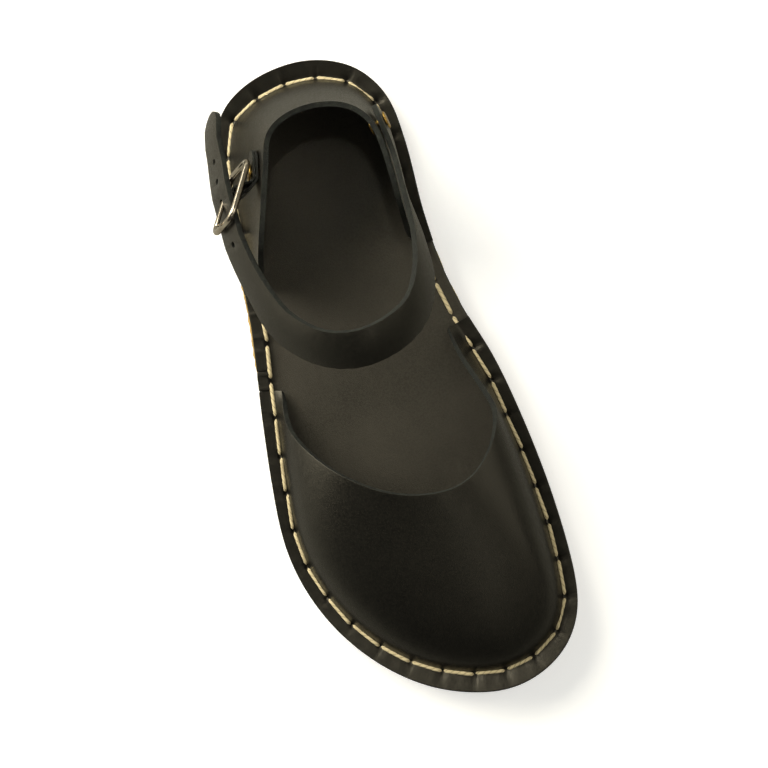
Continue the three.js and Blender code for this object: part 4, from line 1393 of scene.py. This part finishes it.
@dataclass
class Stitching:
    """The waxed thread: one row in the crease of the upper and one in the sole's channel."""

    margin: Margin
    seats: list[Object]
    thread: float = 1.6 * MM
    sole_thread: float = 1.3 * MM
    shown: float = 0.93
    sole_shown: float = 0.74
    channel_height: float = 2.5 * MM
    channel_inset: float = 0.35 * MM
    sides: int = 14
    rings: int = 22
    twist: float = 15.0
    groove: float = 0.14
    flatness: float = 0.86
    taper_from: float = 0.72
    droop: float = 0.32
    stand: float = 0.34
    reach_above: float = 22.0 * MM
    girths: Pair = (0.93, 1.07)
    rolls: Pair = (-0.06, 0.06)
    lengths: Pair = (0.96, 1.04)
    seed: int = 11

    def one_stitch(self) -> Mesh:
        """Models one stitch of length 1 and thickness 1 along X, made from a cylinder.

        Returns:
            The mesh. Its stored value is low in the grooves between the plies.
        """
        mesh = ringed_rod(self.sides, self.rings, 1.0)
        mesh.transform(Matrix.Rotation(math.pi / 2, 4, "Y"))
        ply = mesh.attributes.new(PLY, "FLOAT", "POINT")
        for index, vertex in enumerate(mesh.vertices):
            share = 2 * vertex.co.x
            end = max(0.0, (abs(share) - self.taper_from) / (1 - self.taper_from))
            angle = math.atan2(vertex.co.z, vertex.co.y)
            strand = abs(math.cos(angle + self.twist * vertex.co.x))
            girth = math.sqrt(max(0.0, 1 - end * end)) * (1 - self.groove * (1 - strand**0.6))
            ply.data[index].value = strand
            vertex.co.y *= girth
            vertex.co.z = vertex.co.z * girth * self.flatness - self.droop * share**4
        return mesh

    def seat(self, tree: BVHTree, place: Vector) -> Vector:
        """The place on the leather under a point of the line of stitches.

        Args:
            tree: The leather's surface.
            place: A point of the line.

        Returns:
            The point on the leather.
        """
        above = place + Vector((0, 0, self.reach_above))
        hit = tree.ray_cast(above, Vector((0, 0, -1)))[0]
        return hit if hit is not None else place

    def surface(self) -> BVHTree:
        """Joins the leather that the stitches lie on.

        Returns:
            Its surface as one tree.
        """
        corners: list[Vector] = []
        faces: list[list[int]] = []
        for piece in self.seats:
            start = len(corners)
            corners.extend(vertex.co.copy() for vertex in piece.data.vertices)
            faces.extend([start + index for index in face.vertices] for face in piece.data.polygons)
        return BVHTree.FromPolygons(corners, faces)

    def lay(self, name: str, spans: list[tuple[Vector, Vector, Vector]], thread: float) -> Object:
        """Copies the stitch to each span and joins the copies.

        Args:
            name: Name of the piece.
            spans: Start, end and up direction of each stitch.
            thread: Thickness of the thread.

        Returns:
            The joined piece.
        """
        chance = random.Random(self.seed)
        master = self.one_stitch()
        copies = []
        for start, end, up in spans:
            copy = bpy.data.objects.new(name, master.copy())
            bpy.context.scene.collection.objects.link(copy)
            along = (end - start).normalized()
            across = up.cross(along).normalized()
            over = along.cross(across)
            girth = thread * chance.uniform(*self.girths)
            turn = Matrix((along, across, over)).transposed().to_4x4()
            roll = Matrix.Rotation(chance.uniform(*self.rolls), 4, over)
            length = (end - start).length * chance.uniform(*self.lengths)
            size = Matrix.Diagonal((length, girth, girth, 1.0))
            copy.data.transform(Matrix.Translation((start + end) / 2) @ roll @ turn @ size)
            copies.append(copy)
        piece = joined(copies, name)
        dress(piece, THREAD)
        return piece

    def upper_row(self) -> Object:
        """Lays the stitches in the crease of the upper and on the insole's bare margin.

        Returns:
            The piece.
        """
        tree = self.surface()
        line = self.margin.line()
        spans = []
        for number in range(self.margin.count):
            ends = []
            for phase in (number + 0.5 - self.shown / 2, number + 0.5 + self.shown / 2):
                place = self.seat(tree, self.margin.at_phase(line, phase))
                place.z += self.stand * self.thread
                ends.append(place)
            spans.append((ends[0], ends[1], Vector((0, 0, 1))))
        piece = self.lay("upper_stitches", spans, self.thread)
        return settle(piece, Slot.UPPER)

    def sole_row(self) -> Object:
        """Lays the stitches in the channel round the side of the sole.

        Returns:
            The piece.
        """
        row = self.margin.edge + self.margin.inward * self.channel_inset
        row[:, 2] += self.channel_height
        spans = []
        for number in range(self.margin.count):
            middle = self.margin.at_phase(self.margin.inward, number + 0.5)
            start, end = (
                self.margin.at_phase(row, number + 0.5 + side * self.sole_shown / 2)
                for side in (-1, 1)
            )
            spans.append((start, end, -middle))
        piece = self.lay("sole_stitches", spans, self.sole_thread)
        return settle(piece, Slot.SOLE)


@dataclass
class Fibres:
    """Loose fibres that stand off the cut ends and edges of the leather."""

    strap: Object
    counter: Object
    girth: float = 0.11 * MM
    shortest: float = 1.2 * MM
    longest: float = 6.5 * MM
    at_tip: int = 14
    along_strap: int = 26
    at_counter: int = 26
    tip_reach: float = 7.0 * MM
    counter_from: float = 30.0 * MM
    sides: int = 5
    rings: int = 9
    taper: float = 0.7
    curl: float = 0.45
    wave: float = 0.12
    wave_turns: float = 7.0
    lean: float = 0.3
    stray: float = 0.8
    least_factor: float = 0.5
    strap_factor: float = 1.4
    counter_factor: float = 1.2
    seed: int = 5

    def hair(
        self, master: Mesh, root: Vector, heading: Vector, length: float, chance: random.Random
    ) -> Object:
        """Copies the straight hair to a place and curls the copy.

        Args:
            master: A straight hair of length 1.
            root: Where it leaves the leather.
            heading: Its first direction.
            length: Its length.
            chance: Source of its curl.

        Returns:
            The hair.
        """
        piece = bpy.data.objects.new("loose_fibre", master.copy())
        bpy.context.scene.collection.objects.link(piece)
        rows = positions(piece)
        share = rows[:, 2] + 0.5
        curl = length * chance.uniform(-self.curl, self.curl)
        wave = length * chance.uniform(-self.wave, self.wave)
        lean = length * chance.uniform(-self.lean, self.lean)
        rows[:, :2] *= (1 - self.taper * share)[:, None]
        rows[:, 0] += curl * share**2 + wave * np.sin(share * self.wave_turns)
        rows[:, 1] += lean * share**2
        rows[:, 2] = length * share
        turn = np.array(heading.to_track_quat("Z", "Y").to_matrix())
        move_to(piece, rows @ turn.T + np.array(root))
        return piece

    def roots(self, piece: Object) -> list[tuple[Vector, Vector]]:
        """Middles and directions of the cut faces of a piece."""
        cut = [face for face in piece.data.polygons if face.material_index == EDGE_SLOT]
        return [(face.center.copy(), face.normal.copy()) for face in cut]

    def build(self) -> Object:
        """Models the fibres and joins them.

        Returns:
            The piece.
        """
        chance = random.Random(self.seed)
        on_strap = self.roots(self.strap)
        end = min(root.y for root, _ in on_strap)
        at_tip = [spot for spot in on_strap if spot[0].y < end + self.tip_reach]
        on_edge = [spot for spot in self.roots(self.counter) if spot[0].z > self.counter_from]
        master = ringed_rod(self.sides, self.rings, self.girth)
        hairs = []
        for spots, count, limit in (
            (at_tip, self.at_tip, self.longest),
            (on_strap, self.along_strap, self.shortest * self.strap_factor),
            (on_edge, self.at_counter, self.shortest * self.counter_factor),
        ):
            for root, facing in chance.choices(spots, k=count):
                stray = Vector([chance.uniform(-self.stray, self.stray) for _ in range(3)])
                length = chance.uniform(self.shortest * self.least_factor, limit)
                heading = (facing + stray).normalized()
                hairs.append(self.hair(master, root, heading, length, chance))
        piece = joined(hairs, "loose_fibres")
        dress(piece, FIBRE)
        return settle(piece, Slot.STRAP)


@dataclass(frozen=True)
class Lamp:
    """A square soft light that faces a place on the shoe.

    It stands in a direction at a distance from its target. Its power is in watts, and the
    width of its beam in degrees.
    """

    name: str
    direction: Triple
    distance: float
    size: float
    power: float
    target: Triple = (0.0, 0.0, 0.0)
    beam: float = 180.0
    colour: Triple = (1.0, 0.94, 0.8)

    def place(self) -> None:
        """Places the light in the scene."""
        data = bpy.data.lights.new(self.name, "AREA")
        data.spread = math.radians(self.beam)
        data.shape = "SQUARE"
        data.size = self.size
        data.energy = self.power
        data.color = self.colour
        lamp = bpy.data.objects.new(self.name, data)
        bpy.context.scene.collection.objects.link(lamp)
        away = Vector(self.direction)
        lamp.location = Vector(self.target) + away.normalized() * self.distance
        lamp.rotation_euler = away.to_track_quat("Z", "Y").to_euler()


LAMPS = (
    Lamp("key_light", (0.6, -0.95, 0.85), 1.7, 1.2, 38.0),
    Lamp("side_light", (1.0, -0.7, 0.35), 1.6, 0.9, 15.0),
    Lamp("fill_light", (-0.9, 0.1, 1.1), 1.9, 1.4, 11.0),
    Lamp("toe_light", (-0.06, 0.52, 0.85), 1.5, 0.25, 0.95),
    Lamp("heel_light", (-0.1, -0.1, 1.0), 1.0, 0.08, 0.0018, (-0.002, -0.075, 0.0), 6.0),
)


@dataclass
class Studio:
    """A pale floor, a soft sky, the lamps and the camera over the shoe."""

    camera_place: Triple = (-0.039, 0.0074, 0.9)
    camera_up: Triple = (-0.2760, -0.9612, 0.0)
    aim: Triple = (-0.002, 0.002, 0.02)
    frame_width: float = 0.296
    sensor_width: float = 36.0
    floor_size: float = 6.0
    sky_strength: float = 1.45
    sky_bright: Colour = (0.95, 0.89, 0.7, 1.0)
    over_heel: Colour = (0.17, 0.165, 0.14, 1.0)
    over_toe: Colour = (0.05, 0.05, 0.045, 1.0)
    low_band: Pair = (0.02, 0.42)
    heel_band: Pair = (-0.4, 0.3)

    def floor(self) -> Object:
        """Builds the floor, far wider than the view.

        Returns:
            The floor.
        """
        bpy.ops.object.select_all(action="DESELECT")
        bpy.ops.mesh.primitive_grid_add(size=self.floor_size)
        floor = bpy.context.object
        floor.name = "studio_floor"
        dress(floor, StudioPaper())
        return floor

    def camera(self) -> Object:
        """Places the camera at the photograph's viewing angle.

        Returns:
            The camera.
        """
        data = bpy.data.cameras.new("camera")
        camera = bpy.data.objects.new("camera", data)
        bpy.context.scene.collection.objects.link(camera)
        place = Vector(self.camera_place)
        back = (place - Vector(self.aim)).normalized()
        right = Vector(self.camera_up).cross(back).normalized()
        up = back.cross(right)
        turn = Matrix((right, up, back)).transposed().to_4x4()
        camera.matrix_world = Matrix.Translation(place) @ turn
        distance = (place - Vector(self.aim)).length
        data.sensor_width = self.sensor_width
        data.lens = self.sensor_width * distance / self.frame_width
        data.clip_start = 0.01
        bpy.context.scene.camera = camera
        return camera

    def sky(self) -> None:
        """Lights the scene from a sky that is bright low down on the heel's side."""
        world = bpy.data.worlds.new("studio_sky")
        bpy.context.scene.world = world
        world.use_nodes = True
        board = Board(world.node_tree)
        sky = world.node_tree.nodes["Background"]
        facing = board.add("ShaderNodeTexCoord").outputs["Generated"]
        parts = board.add("ShaderNodeSeparateXYZ", {0: facing})
        low = board.spread(parts.outputs["Z"], *self.low_band, 1.0, 0.0)
        heelwards = board.spread(parts.outputs["Y"], *self.heel_band, 1.0, 0.0)
        above = board.blend(heelwards, self.over_toe, self.over_heel)
        colour = board.blend(board.times(low, heelwards), above, self.sky_bright)
        board.feed(sky, {"Color": colour, "Strength": self.sky_strength})

    def build(self) -> None:
        """Builds the floor, the camera, the sky and the lamps."""
        self.floor()
        self.camera()
        self.sky()
        for lamp in LAMPS:
            lamp.place()
        bpy.context.scene.view_settings.view_transform = "Standard"


def main() -> None:
    """Builds the sandal and its studio."""
    logging.basicConfig(level=logging.INFO, format="%(name)s %(message)s")
    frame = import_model()
    nodes = frame["nodes"]
    margin = Margin(nodes["insole"])
    LOG.info("%d stitches round the margin", margin.count)
    sole = SoleUnit(nodes, margin)
    sole.outsole()
    insole = sole.insole()
    upper = Upper(nodes, margin).build()
    strap, _ = AnkleStrap(nodes).build()
    Metalware(nodes).build()
    stitching = Stitching(margin, [insole, *upper])
    stitching.upper_row()
    stitching.sole_row()
    Fibres(strap, upper[1]).build()
    Studio().build()


if __name__ == "__main__":
    main()
